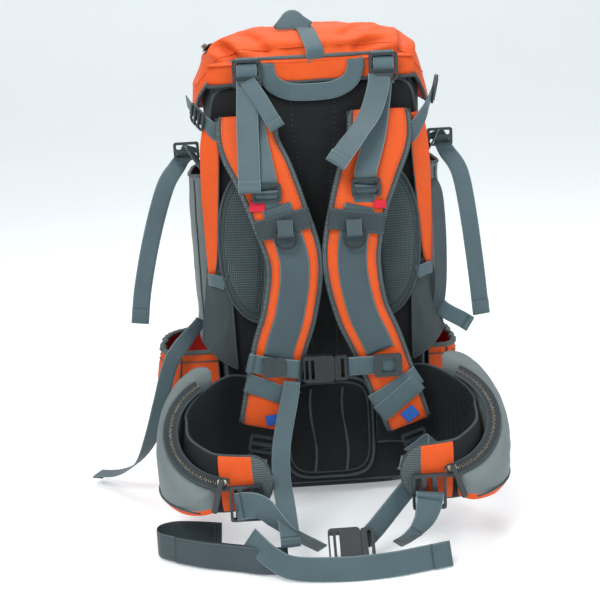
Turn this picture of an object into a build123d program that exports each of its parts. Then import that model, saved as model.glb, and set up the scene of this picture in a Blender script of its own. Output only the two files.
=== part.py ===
from build123d import *
from math import cos, radians, sin
import os

# Travel backpack with a hinged top lid, a shoulder harness and a hip belt.
# Origin: on the flat underside of the base, under the middle of the main bag.
# +Z is up, the harness faces -Y, the front pocket faces +Y, and +X is to the right seen from the harness.

os.makedirs("parts", exist_ok=True)

# Main bag
bag_width = 296.0
bag_depth = 200.0
bag_top = 588.0
bag_corner = 42.0
bag_wall = 2.0
base_inset = 6.0
base_thickness = 4.0
collar_drop = 60.0
collar_rise = 12.0
collar_gap = 5.0
collar_wall = 1.5
shelf_height = 165.0
shelf_thickness = 1.6

# Lid: how far it stands out from the bag, and its levels measured from the bag's top
lid_side_overhang = 18.0
lid_front_overhang = 38.0
lid_back_overhang = 14.0
lid_corner = 46.0
lid_hem_drop = 48.0
lid_shoulder_rise = 30.0
lid_rise = 62.0
lid_wall = 2.2
lid_shoulder_inset = 24.0
lid_top_inset = 62.0
lid_back_inset = 4.0
lid_back_top_inset = 40.0
lid_lining_rise = 18.0
lid_lining_thickness = 1.5
lining_back_cut = 12.0
skirt_y = -50.0
lid_zip_y = -52.0
lid_zip_length = 150.0
hinge_back = 12.0
hinge_rise = 24.0

# Harness panel
panel_width = 268.0
panel_bottom = 22.0
panel_drop = 11.0
panel_foam = 10.0
panel_corner = 26.0
sheet_width = 240.0
sheet_thickness = 1.5
stay_width = 25.0
stay_thickness = 2.8
stay_x = 54.0
stay_bottom = 34.0
stay_drop = 28.0
sheet_margin = 6.0
pad_foam = 15.7
back_pad_width = 116.0
back_pad_height = 212.0
back_pad_x = 75.0
back_pad_z = 368.0
lumbar_width = 124.0
lumbar_height = 145.0
lumbar_z = 106.0
belt_root_width = 56.0
belt_root_height = 104.0
belt_root_foam = 14.0
belt_root_x = 96.0
belt_root_z = 134.0

# Straps and webbing
strap_foam = 14.0
webbing_wide = 38.0
webbing_medium = 28.0
webbing_narrow = 25.0
webbing_thickness = 2.0
patch_thickness = 1.6
keeper_band = 26.0
keeper_thickness = 1.4
keeper_start = 48.0
lock_drop = 24.0
side_lock_out = 22.0
side_lock_y = -76.0
side_lock_z = 494.0
top_lock_drop = 20.0
top_lock_stand = 9.0
left_lock_x = -82.0
right_lock_x = 92.0
loop_stand = 3.0
loop_half_width = 57.0
loop_drop = 52.0
loop_thickness = 2.4

# Sternum strap
sternum_seat = -177.0
sternum_gap = 4.1
sternum_z = 216.0
sternum_rise = 6.0
sternum_mouth_x = 8.0
rail_length = 30.0
rail_width = 26.0
rail_thickness = 3.0
rail_stand = 4.0
left_rail_x = -70.0
right_rail_x = 78.0

# Hip belt
wing_radius = 71.0
wing_foam = 14.0
wing_centre_x = 125.0
wing_centre_y = -220.0
wing_bottom = 62.0
wing_tip_x = 74.0
wing_tip_top = 140.0
wing_tip_bottom = 72.0
wing_start_angle = 83.0
hip_pocket_reach = 32.0
hip_pocket_wall = 1.8
hip_pocket_back = 68.0
hip_pocket_front = -70.0
adjuster_x = 113.0
adjuster_z = 82.0
zip_low = 98.0
slider_height = 4.0
slider_bridge = 1.6
zip_centre_z = 155.0
zip_tilt = 36.7
zip_forward = 8.0
zip_outset = 11.0
zip_width = 16.0
zip_thickness = 1.6
zip_start = -84.0
zip_end = 56.0
slider_place = -78.0
slider_width = 8.0
pull_length = 44.0
pull_thickness = 4.5

# Outside pockets
left_pocket_reach = 94.0
right_pocket_reach = 48.0
side_pocket_depth = 140.0
side_pocket_height = 186.0
side_pocket_bottom = 14.0
bellows_reach = 27.0
bellows_depth = 140.0
bellows_bottom = 214.0
bellows_height = 245.0
front_pocket_width = 206.0
front_pocket_reach = 42.0
front_pocket_height = 350.0
front_pocket_bottom = 60.0
pocket_wall = 1.8
bellows_corner = 9.0
front_pocket_corner = 16.0

# Adjusters and buckles
lock_rim = 3.5
lock_thickness = 5.0
lock_slot = 6.0
lock_bar = 5.0
prong_length = 20.0
socket_length = 28.0
socket_bar_frame = 12.0
tongue_length = 16.0
buckle_margin = 11.0
buckle_thickness = 11.0
buckle_wall = 2.5
waist_mouth = (24.0, -322.0, 26.0)
waist_tilt = 40.0
front_strap_x = 70.0
front_mouth_out = 31.0
front_mouth_drop = 46.0
ring_wire = 3.2
ring_width = 30.0
ring_height = 22.0
ring_gap = 2.0
ring_stand = 5.0

# Clearances
stitch_gap = 0.3
layer_gap = 0.4
buckle_gap = 0.6
slot_gap = 1.0
lining_gap = 0.5

# Faces and levels that several pieces share
bag_back = -bag_depth / 2
bag_front = bag_depth / 2
bag_side = bag_width / 2
stay_face = bag_back - layer_gap - stay_thickness
sheet_face = stay_face - layer_gap - sheet_thickness
panel_back = sheet_face - layer_gap
panel_face = panel_back - panel_foam
pad_back = panel_face - stitch_gap
pad_face = pad_back - pad_foam
lid_width = bag_width + 2 * lid_side_overhang
lid_depth = bag_depth + lid_front_overhang + lid_back_overhang
lid_half_depth = lid_depth / 2
lid_centre_y = (lid_front_overhang - lid_back_overhang) / 2
lid_hem = bag_top - lid_hem_drop
lid_shoulder = bag_top + lid_shoulder_rise
lid_top = bag_top + lid_rise
lid_lining_z = bag_top + lid_lining_rise
hinge_y = bag_back - hinge_back
hinge_z = bag_top + hinge_rise
panel_top = bag_top - panel_drop
stay_top = bag_top - stay_drop


def finish(piece, name):
    """Name a finished piece and write it to its own file."""
    piece.part.label = name
    export_step(piece.part, f"parts/{name}.step")


def strap(stations, thickness, mode=Mode.ADD):
    """A flat strap through (centre, across, width) stations, added to the piece being built."""
    centres = [Vector(*centre) for centre, across, width in stations]
    last = len(centres) - 1
    sections = []
    for i, (centre, across, width) in enumerate(stations):
        run = (centres[min(i + 1, last)] - centres[max(i - 1, 0)]).normalized()
        side = Vector(*across)
        side = side - run * side.dot(run)
        with BuildSketch(Plane(origin=centres[i], x_dir=side, z_dir=run)) as section:
            Rectangle(width, thickness)
        sections.append(section.sketch)
    loft(sections=sections, ruled=True, mode=mode)


def webbing(points, across, width=webbing_narrow):
    """A strap of one width, its width lying along one direction or one for each point."""
    if not isinstance(across, list):
        across = [across] * len(points)
    strap([(point, side, width) for point, side in zip(points, across)], webbing_thickness)


def beside_bag(points, side):
    """Points whose x is measured outward from the bag's left (-1) or right (1) side."""
    return [(side * (bag_side + x), y, z) for x, y, z in points]


def shifted(at, along=0.0, across=0.0, out=0.0):
    """A plane moved within its own directions."""
    origin = at.origin + at.x_dir * along + at.y_dir * across + at.z_dir * out
    return Plane(origin=origin, x_dir=at.x_dir, z_dir=at.z_dir)


def slab(at, length, width, thickness, radius, mode=Mode.ADD):
    """A plate with round corners, centred on a plane."""
    with BuildSketch(at) as outline:
        RectangleRounded(length, width, radius)
    extrude(outline.sketch, amount=thickness / 2, both=True, mode=mode)


def ladder_lock(at, band, bars=2, scale=1.0):
    """A flat frame with bars across it; its webbing runs along the plane's y direction."""
    pitch = (lock_slot + lock_bar) * scale
    slot = lock_slot * scale
    slot_width = band + 2 * slot_gap
    length = bars * pitch + slot + 2 * lock_rim
    slab(at, slot_width + 2 * lock_rim, length, lock_thickness, lock_rim)
    for i in range(bars + 1):
        place = shifted(at, across=(i - bars / 2) * pitch)
        slab(place, slot_width, slot, lock_thickness + 2, slot / 3, Mode.SUBTRACT)


def buckle_socket(at, band):
    """The hollow half of a side-release buckle; its mouth is at the plane's origin and faces along x."""
    width = band + buckle_margin
    inside = buckle_thickness - 2 * buckle_wall
    length = socket_length + socket_bar_frame
    slab(shifted(at, along=-length / 2), length, width, buckle_thickness, buckle_wall * 2)
    slab(at, 2 * prong_length, width - 3 * buckle_wall, inside, buckle_wall / 2, Mode.SUBTRACT)
    window = shifted(at, along=-prong_length * 0.6)
    slab(window, prong_length / 2, width + 2, inside, buckle_wall / 2, Mode.SUBTRACT)
    for bar in (0.18, 0.82):
        place = shifted(at, along=-socket_length + 2 - socket_bar_frame * bar)
        slab(place, lock_slot * 0.75, band + slot_gap, buckle_thickness + 2, slot_gap, Mode.SUBTRACT)


def buckle_tongue(at, band):
    """The pronged half, pushed home in a socket whose mouth is at the plane's origin."""
    width = band + buckle_margin
    inside = buckle_thickness - 2 * buckle_wall - 2 * buckle_gap
    body = shifted(at, along=buckle_gap + tongue_length / 2)
    slab(body, tongue_length, width - buckle_wall, buckle_thickness - buckle_wall, buckle_wall)
    slot = shifted(body, along=buckle_wall * 0.8)
    slab(slot, lock_slot * 0.75, band + slot_gap, buckle_thickness, slot_gap, Mode.SUBTRACT)
    prong = prong_length - buckle_wall
    reach = (width - 3 * buckle_wall) / 2 - buckle_gap
    for side, length in ((-1, prong), (0, prong * 0.7), (1, prong)):
        place = shifted(at, along=tongue_length / 4 - length / 2, across=side * (reach - buckle_wall))
        slab(place, length + tongue_length / 2, 2 * buckle_wall, inside, buckle_wall / 2)


# Base and main bag

with BuildPart() as base_panel:
    with BuildSketch(Plane.XY):
        RectangleRounded(bag_width - 2 * base_inset, bag_depth - 2 * base_inset, bag_corner - base_inset)
    extrude(amount=base_thickness)
finish(base_panel, "base_panel")

bag_floor = base_thickness + stitch_gap

with BuildPart() as main_bag:
    with BuildSketch(Plane.XY.offset(bag_floor)):
        RectangleRounded(bag_width, bag_depth, bag_corner)
    extrude(amount=bag_top - bag_floor)
    fillet(main_bag.faces().sort_by(Axis.Z)[0].edges(), bag_wall)
    with BuildSketch(Plane.XY.offset(bag_floor + bag_wall)):
        RectangleRounded(bag_width - 2 * bag_wall, bag_depth - 2 * bag_wall, bag_corner - bag_wall)
    extrude(amount=bag_top, mode=Mode.SUBTRACT)
finish(main_bag, "main_bag")

collar_inset = bag_wall + collar_gap

with BuildPart() as snow_collar:
    with BuildSketch(Plane.XY.offset(bag_top - collar_drop)):
        width = bag_width - 2 * collar_inset
        depth = bag_depth - 2 * collar_inset
        RectangleRounded(width, depth, bag_corner - collar_inset)
        offset(amount=-collar_wall, mode=Mode.SUBTRACT)
    extrude(amount=collar_drop + collar_rise)
finish(snow_collar, "snow_collar")

shelf_inset = bag_wall + layer_gap

with BuildPart() as compartment_shelf:
    with BuildSketch(Plane.XY.offset(shelf_height)):
        RectangleRounded(bag_width - 2 * shelf_inset, bag_depth - 2 * shelf_inset, bag_corner - shelf_inset)
    extrude(amount=shelf_thickness)
finish(compartment_shelf, "compartment_shelf")

# Frame and harness panel

back_plane = Plane(origin=(0, 0, 0), x_dir=(1, 0, 0), z_dir=(0, -1, 0))

with BuildPart() as frame_stays:
    with BuildSketch(back_plane.offset(-stay_face - stay_thickness)):
        with Locations(*[(side * stay_x, (stay_bottom + stay_top) / 2) for side in (-1, 1)]):
            RectangleRounded(stay_width, stay_top - stay_bottom, stay_width / 4)
    extrude(amount=stay_thickness)
finish(frame_stays, "frame_stays")

with BuildPart() as frame_sheet:
    with BuildSketch(back_plane.offset(-sheet_face - sheet_thickness)):
        with Locations((0, (stay_bottom + stay_top) / 2)):
            RectangleRounded(sheet_width, stay_top - stay_bottom + 2 * sheet_margin, stay_width)
    extrude(amount=sheet_thickness)
finish(frame_sheet, "frame_sheet")

with BuildPart() as back_panel:
    with BuildSketch(back_plane.offset(-panel_back)):
        with Locations((0, (panel_bottom + panel_top) / 2)):
            RectangleRounded(panel_width, panel_top - panel_bottom, panel_corner)
    extrude(amount=panel_foam)
    fillet(back_panel.faces().sort_by(Axis.Y)[0].edges(), panel_foam / 3)
finish(back_panel, "back_panel")

band_top = hinge_z - 4

with BuildPart() as top_band:
    with BuildSketch(back_plane.offset(-panel_back)):
        with Locations((0, (panel_top + stitch_gap + band_top) / 2)):
            RectangleRounded(panel_width, band_top - panel_top - stitch_gap, 5)
    extrude(amount=panel_foam)
finish(top_band, "top_band")

for name, side in (("left_back_pad", -1), ("right_back_pad", 1)):
    with BuildPart() as back_pad:
        with BuildSketch(back_plane.offset(-pad_back)):
            with Locations((side * back_pad_x, back_pad_z)):
                Ellipse(back_pad_width / 2, back_pad_height / 2)
        extrude(amount=pad_foam)
        fillet(back_pad.faces().sort_by(Axis.Y)[0].edges(), pad_foam * 0.6)
    finish(back_pad, name)

with BuildPart() as lumbar_pad:
    with BuildSketch(back_plane.offset(-pad_back)):
        with Locations((0, lumbar_z)):
            RectangleRounded(lumbar_width, lumbar_height, panel_corner)
    extrude(amount=pad_foam)
    fillet(lumbar_pad.faces().sort_by(Axis.Y)[0].edges(), pad_foam / 2)
finish(lumbar_pad, "lumbar_pad")

with BuildPart() as belt_root_pads:
    with BuildSketch(back_plane.offset(-pad_back + stitch_gap)):
        with Locations(*[(side * belt_root_x, belt_root_z) for side in (-1, 1)]):
            RectangleRounded(belt_root_width, belt_root_height, panel_corner)
    extrude(amount=belt_root_foam)
finish(belt_root_pads, "belt_root_pads")

# Shoulder straps: each station is (centre x, y, z, width), from the top anchor to the lower end

left_strap_line = [
    (-86, -125, 538, 72), (-85, -138, 505, 72), (-68, -155, 465, 68), (-53, -166, 420, 66),
    (-36, -172, 356, 60), (-45, -174, 290, 58), (-63, -177, 236, 62), (-87, -184, 137, 66),
]
right_strap_line = [
    (84, -125, 538, 76), (82, -138, 505, 78), (66, -155, 465, 72), (50, -166, 420, 67),
    (38, -172, 356, 66), (47, -174, 290, 61), (68, -177, 236, 62), (104, -184, 130, 58),
]


def strap_run(line, at):
    """The direction along a shoulder strap at one of its stations."""
    before = Vector(*line[max(at - 1, 0)][:3])
    after = Vector(*line[min(at + 1, len(line) - 1)][:3])
    return (after - before).normalized()


def over_strap(line, at, out):
    """A point in front of the strap's middle at one of its stations."""
    run = strap_run(line, at)
    outward = Vector(0, -1, 0)
    outward = (outward - run * outward.dot(run)).normalized()
    point = Vector(*line[at][:3]) + outward * out
    return (point.X, point.Y, point.Z)


def strap_cross(line, at):
    """The direction across a shoulder strap at one of its stations."""
    run = strap_run(line, at)
    across = Vector(0, -1, 0).cross(run).normalized()
    return (across.X, across.Y, across.Z)


webbing_out = strap_foam / 2 + layer_gap + webbing_thickness / 2
patch_out = webbing_out + webbing_thickness / 2 + layer_gap + patch_thickness / 2

for label, line in (("left", left_strap_line), ("right", right_strap_line)):
    with BuildPart() as shoulder_strap:
        stations = [(line[i][:3], strap_cross(line, i), line[i][3]) for i in range(len(line))]
        strap(stations, strap_foam)
    finish(shoulder_strap, f"{label}_shoulder_strap")

with BuildPart() as shoulder_webbing:
    for line in (left_strap_line, right_strap_line):
        stations = []
        for i in range(3, 7):
            stations.append((over_strap(line, i, webbing_out), strap_cross(line, i), webbing_wide))
        strap(stations, webbing_thickness)
    for line in (left_strap_line, right_strap_line):
        top = Vector(*over_strap(line, 3, patch_out))
        low = Vector(*over_strap(line, 4, patch_out))
        across = strap_cross(line, 3)
        ends = [top + (low - top) * share for share in (0.12, 0.62)]
        strap([(tuple(end), across, line[3][3]) for end in ends], patch_thickness)
finish(shoulder_webbing, "shoulder_webbing")

keeper_inside = 2 * (webbing_out + webbing_thickness / 2 + layer_gap)

with BuildPart() as strap_keepers:
    for line in (left_strap_line, right_strap_line):
        top = Vector(*line[6][:3])
        run = (Vector(*line[7][:3]) - top).normalized()
        across = strap_cross(line, 7)
        width = max(line[6][3], line[7][3]) + 2 * layer_gap
        band = [tuple(top + run * place) for place in (keeper_start, keeper_start + keeper_band)]
        hole = [tuple(top + run * place) for place in (keeper_start - 1, keeper_start + keeper_band + 1)]
        outside = [(end, across, width + 2 * keeper_thickness) for end in band]
        strap(outside, keeper_inside + 2 * keeper_thickness)
        strap([(end, across, width) for end in hole], keeper_inside, Mode.SUBTRACT)
finish(strap_keepers, "strap_keepers")

# Ladder locks on 28 mm webbing at the top of the harness and on 25 mm webbing under the shoulder straps

top_lock_z = hinge_z - top_lock_drop
top_lock_out = panel_face - top_lock_stand


def facing_back(x, y, z, x_dir=(1, 0, 0)):
    """A plane facing the wearer at a place."""
    return Plane(origin=(x, y, z), x_dir=x_dir, z_dir=(0, -1, 0))


def lock_below(line):
    """The plane of the lock that hangs from a shoulder strap's lower end."""
    run = strap_run(line, 7)
    centre = Vector(*line[7][:3]) + run * lock_drop
    return Plane(origin=centre, x_dir=strap_cross(line, 7), z_dir=Vector(*strap_cross(line, 7)).cross(run))


with BuildPart() as lifter_locks:
    for x in (left_lock_x, right_lock_x):
        ladder_lock(facing_back(x, top_lock_out, top_lock_z), webbing_medium)
finish(lifter_locks, "lifter_locks")

# Load lifters: each runs from its top lock to the shoulder strap, with a loose tail in front of it

lifter_top = top_lock_z - 24
left_lifter = [(-80, panel_face - 6, lifter_top), (-73, -152, 508), (-66, -172, 466)]
left_lifter_tail = [(-82, top_lock_out - 6, lifter_top), (-85, -162, 508), (-87, -183, 448)]
right_lifter = [(90, panel_face - 6, lifter_top), (76, -152, 508), (60, -172, 466)]
right_lifter_tail = [(86, top_lock_out - 6, lifter_top), (62, -164, 530), (40, -182, 504), (21, -186, 478)]

with BuildPart() as lifter_webbing:
    for run in (left_lifter, left_lifter_tail, right_lifter):
        webbing(run, (1, 0, 0), webbing_medium)
    turning = [(1, 0, 0), (0.8, -0.3, 0.5), (0.75, -0.2, 0.6), (0.8, 0, 0.6)]
    webbing(right_lifter_tail, turning, webbing_medium)
finish(lifter_webbing, "lifter_webbing")

with BuildPart() as strap_locks:
    for x, y, z in (left_lifter[-1], right_lifter[-1]):
        ladder_lock(facing_back(x, y - 2, z - 20), webbing_medium, bars=1)
    for line in (left_strap_line, right_strap_line):
        ladder_lock(lock_below(line), webbing_narrow, bars=1)
    for side in (-1, 1):
        place = facing_back(side * (bag_side + side_lock_out), side_lock_y, side_lock_z)
        ladder_lock(place, webbing_narrow, bars=1)
finish(strap_locks, "strap_locks")

# Haul loop between the locks: a flat U of doubled webbing

loop_top = hinge_z - 6
loop_y = panel_face - loop_stand
loop_inside = loop_half_width - webbing_narrow
loop_depth = loop_drop - webbing_narrow

with BuildPart() as haul_loop:
    with BuildSketch(facing_back(0, loop_y, loop_top)) as outline:
        with Locations((0, -loop_drop / 2)):
            Rectangle(2 * loop_half_width, loop_drop)
        fillet(outline.vertices().group_by(Axis.Y)[0], loop_drop * 0.8)
        with Locations((0, -loop_depth / 2)):
            Rectangle(2 * loop_inside, loop_depth, mode=Mode.SUBTRACT)
    extrude(amount=loop_thickness / 2, both=True)
finish(haul_loop, "haul_loop")

# Sternum strap: the left half carries the socket and its loose tail, the right half the tongue

sternum_y = sternum_seat - webbing_out - webbing_thickness - sternum_gap
rail_y = sternum_y - rail_stand
left_rail_z = sternum_z + sternum_rise
buckle_line = Plane(origin=(sternum_mouth_x, sternum_y, sternum_z), x_dir=(1, 0, 0), z_dir=(0, -1, 0))

with BuildPart() as sternum_socket:
    buckle_socket(buckle_line, webbing_narrow)
finish(sternum_socket, "sternum_socket")

with BuildPart() as sternum_tongue:
    buckle_tongue(buckle_line, webbing_narrow)
finish(sternum_tongue, "sternum_tongue")

socket_end = sternum_mouth_x - socket_length - socket_bar_frame
tongue_end = sternum_mouth_x + buckle_gap + tongue_length

with BuildPart() as sternum_webbing_left:
    far_end = (-104, sternum_y, sternum_z + 14)
    near_end = (socket_end - 4, sternum_y, sternum_z)
    webbing([far_end, (left_rail_x, sternum_y, left_rail_z), near_end], (0, 0, 1))
    tail = [(socket_end - 18, rail_y, sternum_z - 16), (-56, -200, 176), (-78, -206, 122), (-80, -222, 60)]
    webbing(tail, (1, 0, 0))
finish(sternum_webbing_left, "sternum_webbing_left")

with BuildPart() as sternum_webbing_right:
    webbing([(tongue_end + slot_gap, sternum_y, sternum_z), (96, sternum_y, sternum_z)], (0, 0, 1))
finish(sternum_webbing_right, "sternum_webbing_right")

with BuildPart() as sternum_slide_left:
    slab(facing_back(left_rail_x, rail_y, left_rail_z), rail_length, rail_width, rail_thickness, 4)
finish(sternum_slide_left, "sternum_slide_left")

with BuildPart() as sternum_slide_right:
    frame = facing_back(right_rail_x, rail_y, sternum_z)
    slab(frame, rail_length + 6, webbing_narrow + 6, rail_thickness, 4)
    slab(frame, rail_length - 12, webbing_narrow - 6, rail_thickness + 2, 2, Mode.SUBTRACT)
finish(sternum_slide_right, "sternum_slide_right")

# D-rings on the shoulder straps

ring_out = ring_wire + ring_gap + ring_stand
left_ring_centre = (-45, over_strap(left_strap_line, 3, patch_out)[1] - ring_out, 396)
right_ring_centre = (42, over_strap(right_strap_line, 3, patch_out)[1] - ring_out, 392)

for name, centre in (("left_d_ring", left_ring_centre), ("right_d_ring", right_ring_centre)):
    with BuildPart() as d_ring:
        with BuildSketch(facing_back(*centre)) as ring:
            with Locations((0, -ring_height / 2)):
                Rectangle(ring_width, ring_height)
            fillet(ring.vertices().group_by(Axis.Y)[0], ring_height * 0.6)
            offset(amount=-ring_wire, mode=Mode.SUBTRACT)
        extrude(amount=ring_wire / 2, both=True)
        fillet(d_ring.edges(), ring_wire * 0.3)
    finish(d_ring, name)

# Hip belt wings: each is built on the right and mirrored for the left. Seen from above it is part of a ring
# about a centre beside the hips, with angles counted from +X, the back at +90 and the front at -90.

zip_rise = radians(zip_tilt)
wing_front = wing_centre_y - wing_radius
pocket_inside = wing_radius + stitch_gap
zip_radius = wing_radius + zip_outset


def zip_plane(out=0.0):
    """The slanted plane that the hip pocket's zip lies in, moved along its normal."""
    normal = Vector(0, -sin(zip_rise), cos(zip_rise))
    centre = Vector(wing_centre_x, wing_centre_y - zip_forward, zip_centre_z) + normal * out
    return Plane(origin=centre, x_dir=(1, 0, 0), z_dir=normal)


def ring_sector(at, inner, outer, first, last):
    """A face between two radii, from one angle to another, about a plane's origin."""
    with BuildSketch(at) as sector:
        with BuildLine():
            near = CenterArc((0, 0), inner, first, last - first)
            far = CenterArc((0, 0), outer, first, last - first)
            Line(near @ 0, far @ 0)
            Line(near @ 1, far @ 1)
        make_face()
    return sector.sketch


def level_plane(height):
    """A level plane about the wing's centre."""
    return Plane(origin=(wing_centre_x, wing_centre_y, height), x_dir=(1, 0, 0), z_dir=(0, 0, 1))


def on_zip(angle, radius=zip_radius, out=0.0):
    """A place on the hip pocket's zip circle."""
    plane = zip_plane(out)
    return plane.from_local_coords(Vector(radius * cos(radians(angle)), radius * sin(radians(angle)), 0))


above = 200.0
pocket_floor = wing_bottom + 4

for label, side in (("left", -1), ("right", 1)):
    with BuildPart() as wing_pad:
        wing_inside = wing_radius - wing_foam
        wing_ring = ring_sector(level_plane(wing_bottom), wing_inside, wing_radius, -90, wing_start_angle)
        extrude(wing_ring, amount=above)
        split(bisect_by=zip_plane(-zip_thickness / 2 - layer_gap), keep=Keep.BOTTOM)
        with BuildSketch(facing_back(0, wing_front, 0)):
            with Locations(((wing_centre_x + wing_tip_x) / 2, (wing_tip_top + wing_tip_bottom) / 2)):
                RectangleRounded(wing_centre_x - wing_tip_x, wing_tip_top - wing_tip_bottom, 22)
            with Locations((wing_centre_x - 14, (wing_tip_bottom + zip_low) / 2)):
                Rectangle(28, zip_low - wing_tip_bottom)
        extrude(amount=-wing_foam)
        if side < 0:
            mirror(wing_pad.part, about=Plane.YZ, mode=Mode.REPLACE)
    finish(wing_pad, f"{label}_wing_pad")

    with BuildPart() as hip_pocket:
        outside = pocket_inside + hip_pocket_reach
        pocket_ring = ring_sector(
            level_plane(pocket_floor), pocket_inside, outside, hip_pocket_front, hip_pocket_back,
        )
        extrude(pocket_ring, amount=above)
        split(bisect_by=zip_plane(-zip_thickness / 2 - layer_gap), keep=Keep.BOTTOM)
        hollow = ring_sector(
            level_plane(pocket_floor + hip_pocket_wall),
            pocket_inside + hip_pocket_wall, outside - hip_pocket_wall,
            hip_pocket_front + 2, hip_pocket_back - 2,
        )
        extrude(hollow, amount=above, mode=Mode.SUBTRACT)
        if side < 0:
            mirror(hip_pocket.part, about=Plane.YZ, mode=Mode.REPLACE)
    finish(hip_pocket, f"{label}_hip_pocket")

    with BuildPart() as hip_zip:
        half = zip_width / 2
        tape = ring_sector(zip_plane(), zip_radius - half, zip_radius + half, zip_start, zip_end)
        extrude(tape, amount=zip_thickness / 2, both=True)
        if side < 0:
            mirror(hip_zip.part, about=Plane.YZ, mode=Mode.REPLACE)
    finish(hip_zip, f"{label}_hip_zip")

    with BuildPart() as belt_adjuster:
        centre = (adjuster_x, wing_front - lock_thickness / 2 - 3, adjuster_z)
        ladder_lock(facing_back(*centre, x_dir=(0, 0, 1)), webbing_wide, bars=2, scale=1.25)
        if side < 0:
            mirror(belt_adjuster.part, about=Plane.YZ, mode=Mode.REPLACE)
    finish(belt_adjuster, f"{label}_belt_adjuster")

    slide_out = zip_thickness / 2 + layer_gap + slider_height / 2
    slider_point = on_zip(slider_place, out=slide_out)
    slider_turn = radians(slider_place)
    forward = cos(slider_turn)
    slider_along = Vector(-sin(slider_turn), forward * cos(zip_rise), forward * sin(zip_rise))
    zip_normal = zip_plane().z_dir
    slider_plane = Plane(origin=slider_point, x_dir=slider_along, z_dir=zip_normal)

    with BuildPart() as hip_slider:
        slab(slider_plane, slider_width + 3, slider_width, slider_height, 2.5)
        with BuildSketch(slider_plane):
            RectangleRounded(slider_width, 3, 1)
        extrude(amount=slider_height / 2 + slider_bridge)
        if side < 0:
            mirror(hip_slider.part, about=Plane.YZ, mode=Mode.REPLACE)
    finish(hip_slider, f"{label}_hip_slider")

    pull_out = slider_height / 2 + slider_bridge + layer_gap + pull_thickness / 2
    pull_plane = Plane(origin=slider_point + zip_normal * pull_out, x_dir=slider_along, z_dir=zip_normal)

    with BuildPart() as hip_pull:
        link = shifted(pull_plane, across=-pull_length * 0.25)
        slab(link, 6, pull_length * 0.5 + 4, pull_thickness * 0.6, 2)
        slab(shifted(pull_plane, across=-1), 2.6, 4, pull_thickness, 1, Mode.SUBTRACT)
        grip = shifted(pull_plane, across=-pull_length * 0.74)
        slab(grip, 7, pull_length * 0.52, pull_thickness, 2.2)
        if side < 0:
            mirror(hip_pull.part, about=Plane.YZ, mode=Mode.REPLACE)
    finish(hip_pull, f"{label}_hip_pull")

# Waist buckle, lying tipped on its webbing in front of the pack

waist_lean = radians(90 - waist_tilt)
waist_line = Plane(origin=waist_mouth, x_dir=(1, 0, 0), z_dir=(0, -cos(waist_lean), sin(waist_lean)))

with BuildPart() as waist_socket:
    buckle_socket(waist_line, webbing_wide)
finish(waist_socket, "waist_socket")

with BuildPart() as waist_tongue:
    buckle_tongue(waist_line, webbing_wide)
finish(waist_tongue, "waist_tongue")

with BuildPart() as left_belt_webbing:
    run = [(-98, wing_front - 21, 84), (-60, -320, 50), (-24, waist_mouth[1], waist_mouth[2])]
    webbing(run, [(0, 0, 1), (0, -0.3, 0.9), (0, -0.7, 0.6)], webbing_wide - 4)
    webbing([(-72, -334, 19), (-130, -318, 19), (-206, -288, 19)], (0, 0, 1), webbing_wide - 2)
    webbing([(-228, -268, 19), (-210, -244, 19), (-150, -256, 19)], (0, 0, 1), webbing_wide - 2)
    front = [(-58, -352, 14), (0, -356, 13), (52, -352, 12), (96, -340, 11), (134, -330, 10)]
    webbing(front, (0, -0.9, 0.45), webbing_wide - 14)
finish(left_belt_webbing, "left_belt_webbing")

with BuildPart() as right_belt_webbing:
    run = [(68, waist_mouth[1], waist_mouth[2]), (92, -324, 44), (112, wing_front - 26, 72)]
    webbing(run, [(0, -0.7, 0.6), (0.3, -0.3, 0.9), (0.5, 0, 0.8)], webbing_wide - 4)
finish(right_belt_webbing, "right_belt_webbing")

# Side pockets, side bellows and front pocket: open trays of cloth against the bag

pocket_side = bag_side + stitch_gap


def open_tray(width, depth, corner, bottom, height, wall, centre):
    """An upright tray with round corners, open at its top."""
    with BuildSketch(Plane.XY.offset(bottom)) as outline:
        with Locations(centre):
            RectangleRounded(width, depth, corner)
    extrude(outline.sketch, amount=height)
    with BuildSketch(Plane.XY.offset(bottom + wall)) as inside:
        with Locations(centre):
            RectangleRounded(width - 2 * wall, depth - 2 * wall, corner - wall)
    extrude(inside.sketch, amount=height, mode=Mode.SUBTRACT)


for label, side, reach in (("left", -1, left_pocket_reach), ("right", 1, right_pocket_reach)):
    with BuildPart() as side_pocket:
        open_tray(
            reach, side_pocket_depth, reach * 0.35, side_pocket_bottom, side_pocket_height,
            pocket_wall, (side * (pocket_side + reach / 2), 0),
        )
    finish(side_pocket, f"{label}_side_pocket")

    with BuildPart() as side_bellows:
        open_tray(
            bellows_reach, bellows_depth, bellows_corner, bellows_bottom, bellows_height,
            pocket_wall, (side * (pocket_side + bellows_reach / 2), 0),
        )
    finish(side_bellows, f"{label}_side_bellows")

with BuildPart() as front_pocket:
    open_tray(
        front_pocket_width, front_pocket_reach, front_pocket_corner, front_pocket_bottom,
        front_pocket_height, pocket_wall, (0, bag_front + stitch_gap + front_pocket_reach / 2),
    )
finish(front_pocket, "front_pocket")

# Lid: an upside-down tray, its skirt cut away at the back below the hinge line


def lid_level(height, inset_x, inset_y, shrink):
    """One outline of the lid at a height."""
    with BuildSketch(Plane.XY.offset(height)) as level:
        with Locations((0, lid_centre_y)):
            width = lid_width - 2 * (inset_x + shrink)
            depth = lid_depth - 2 * (inset_y + shrink)
            RectangleRounded(width, depth, lid_corner - shrink)
    return level.sketch


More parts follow.
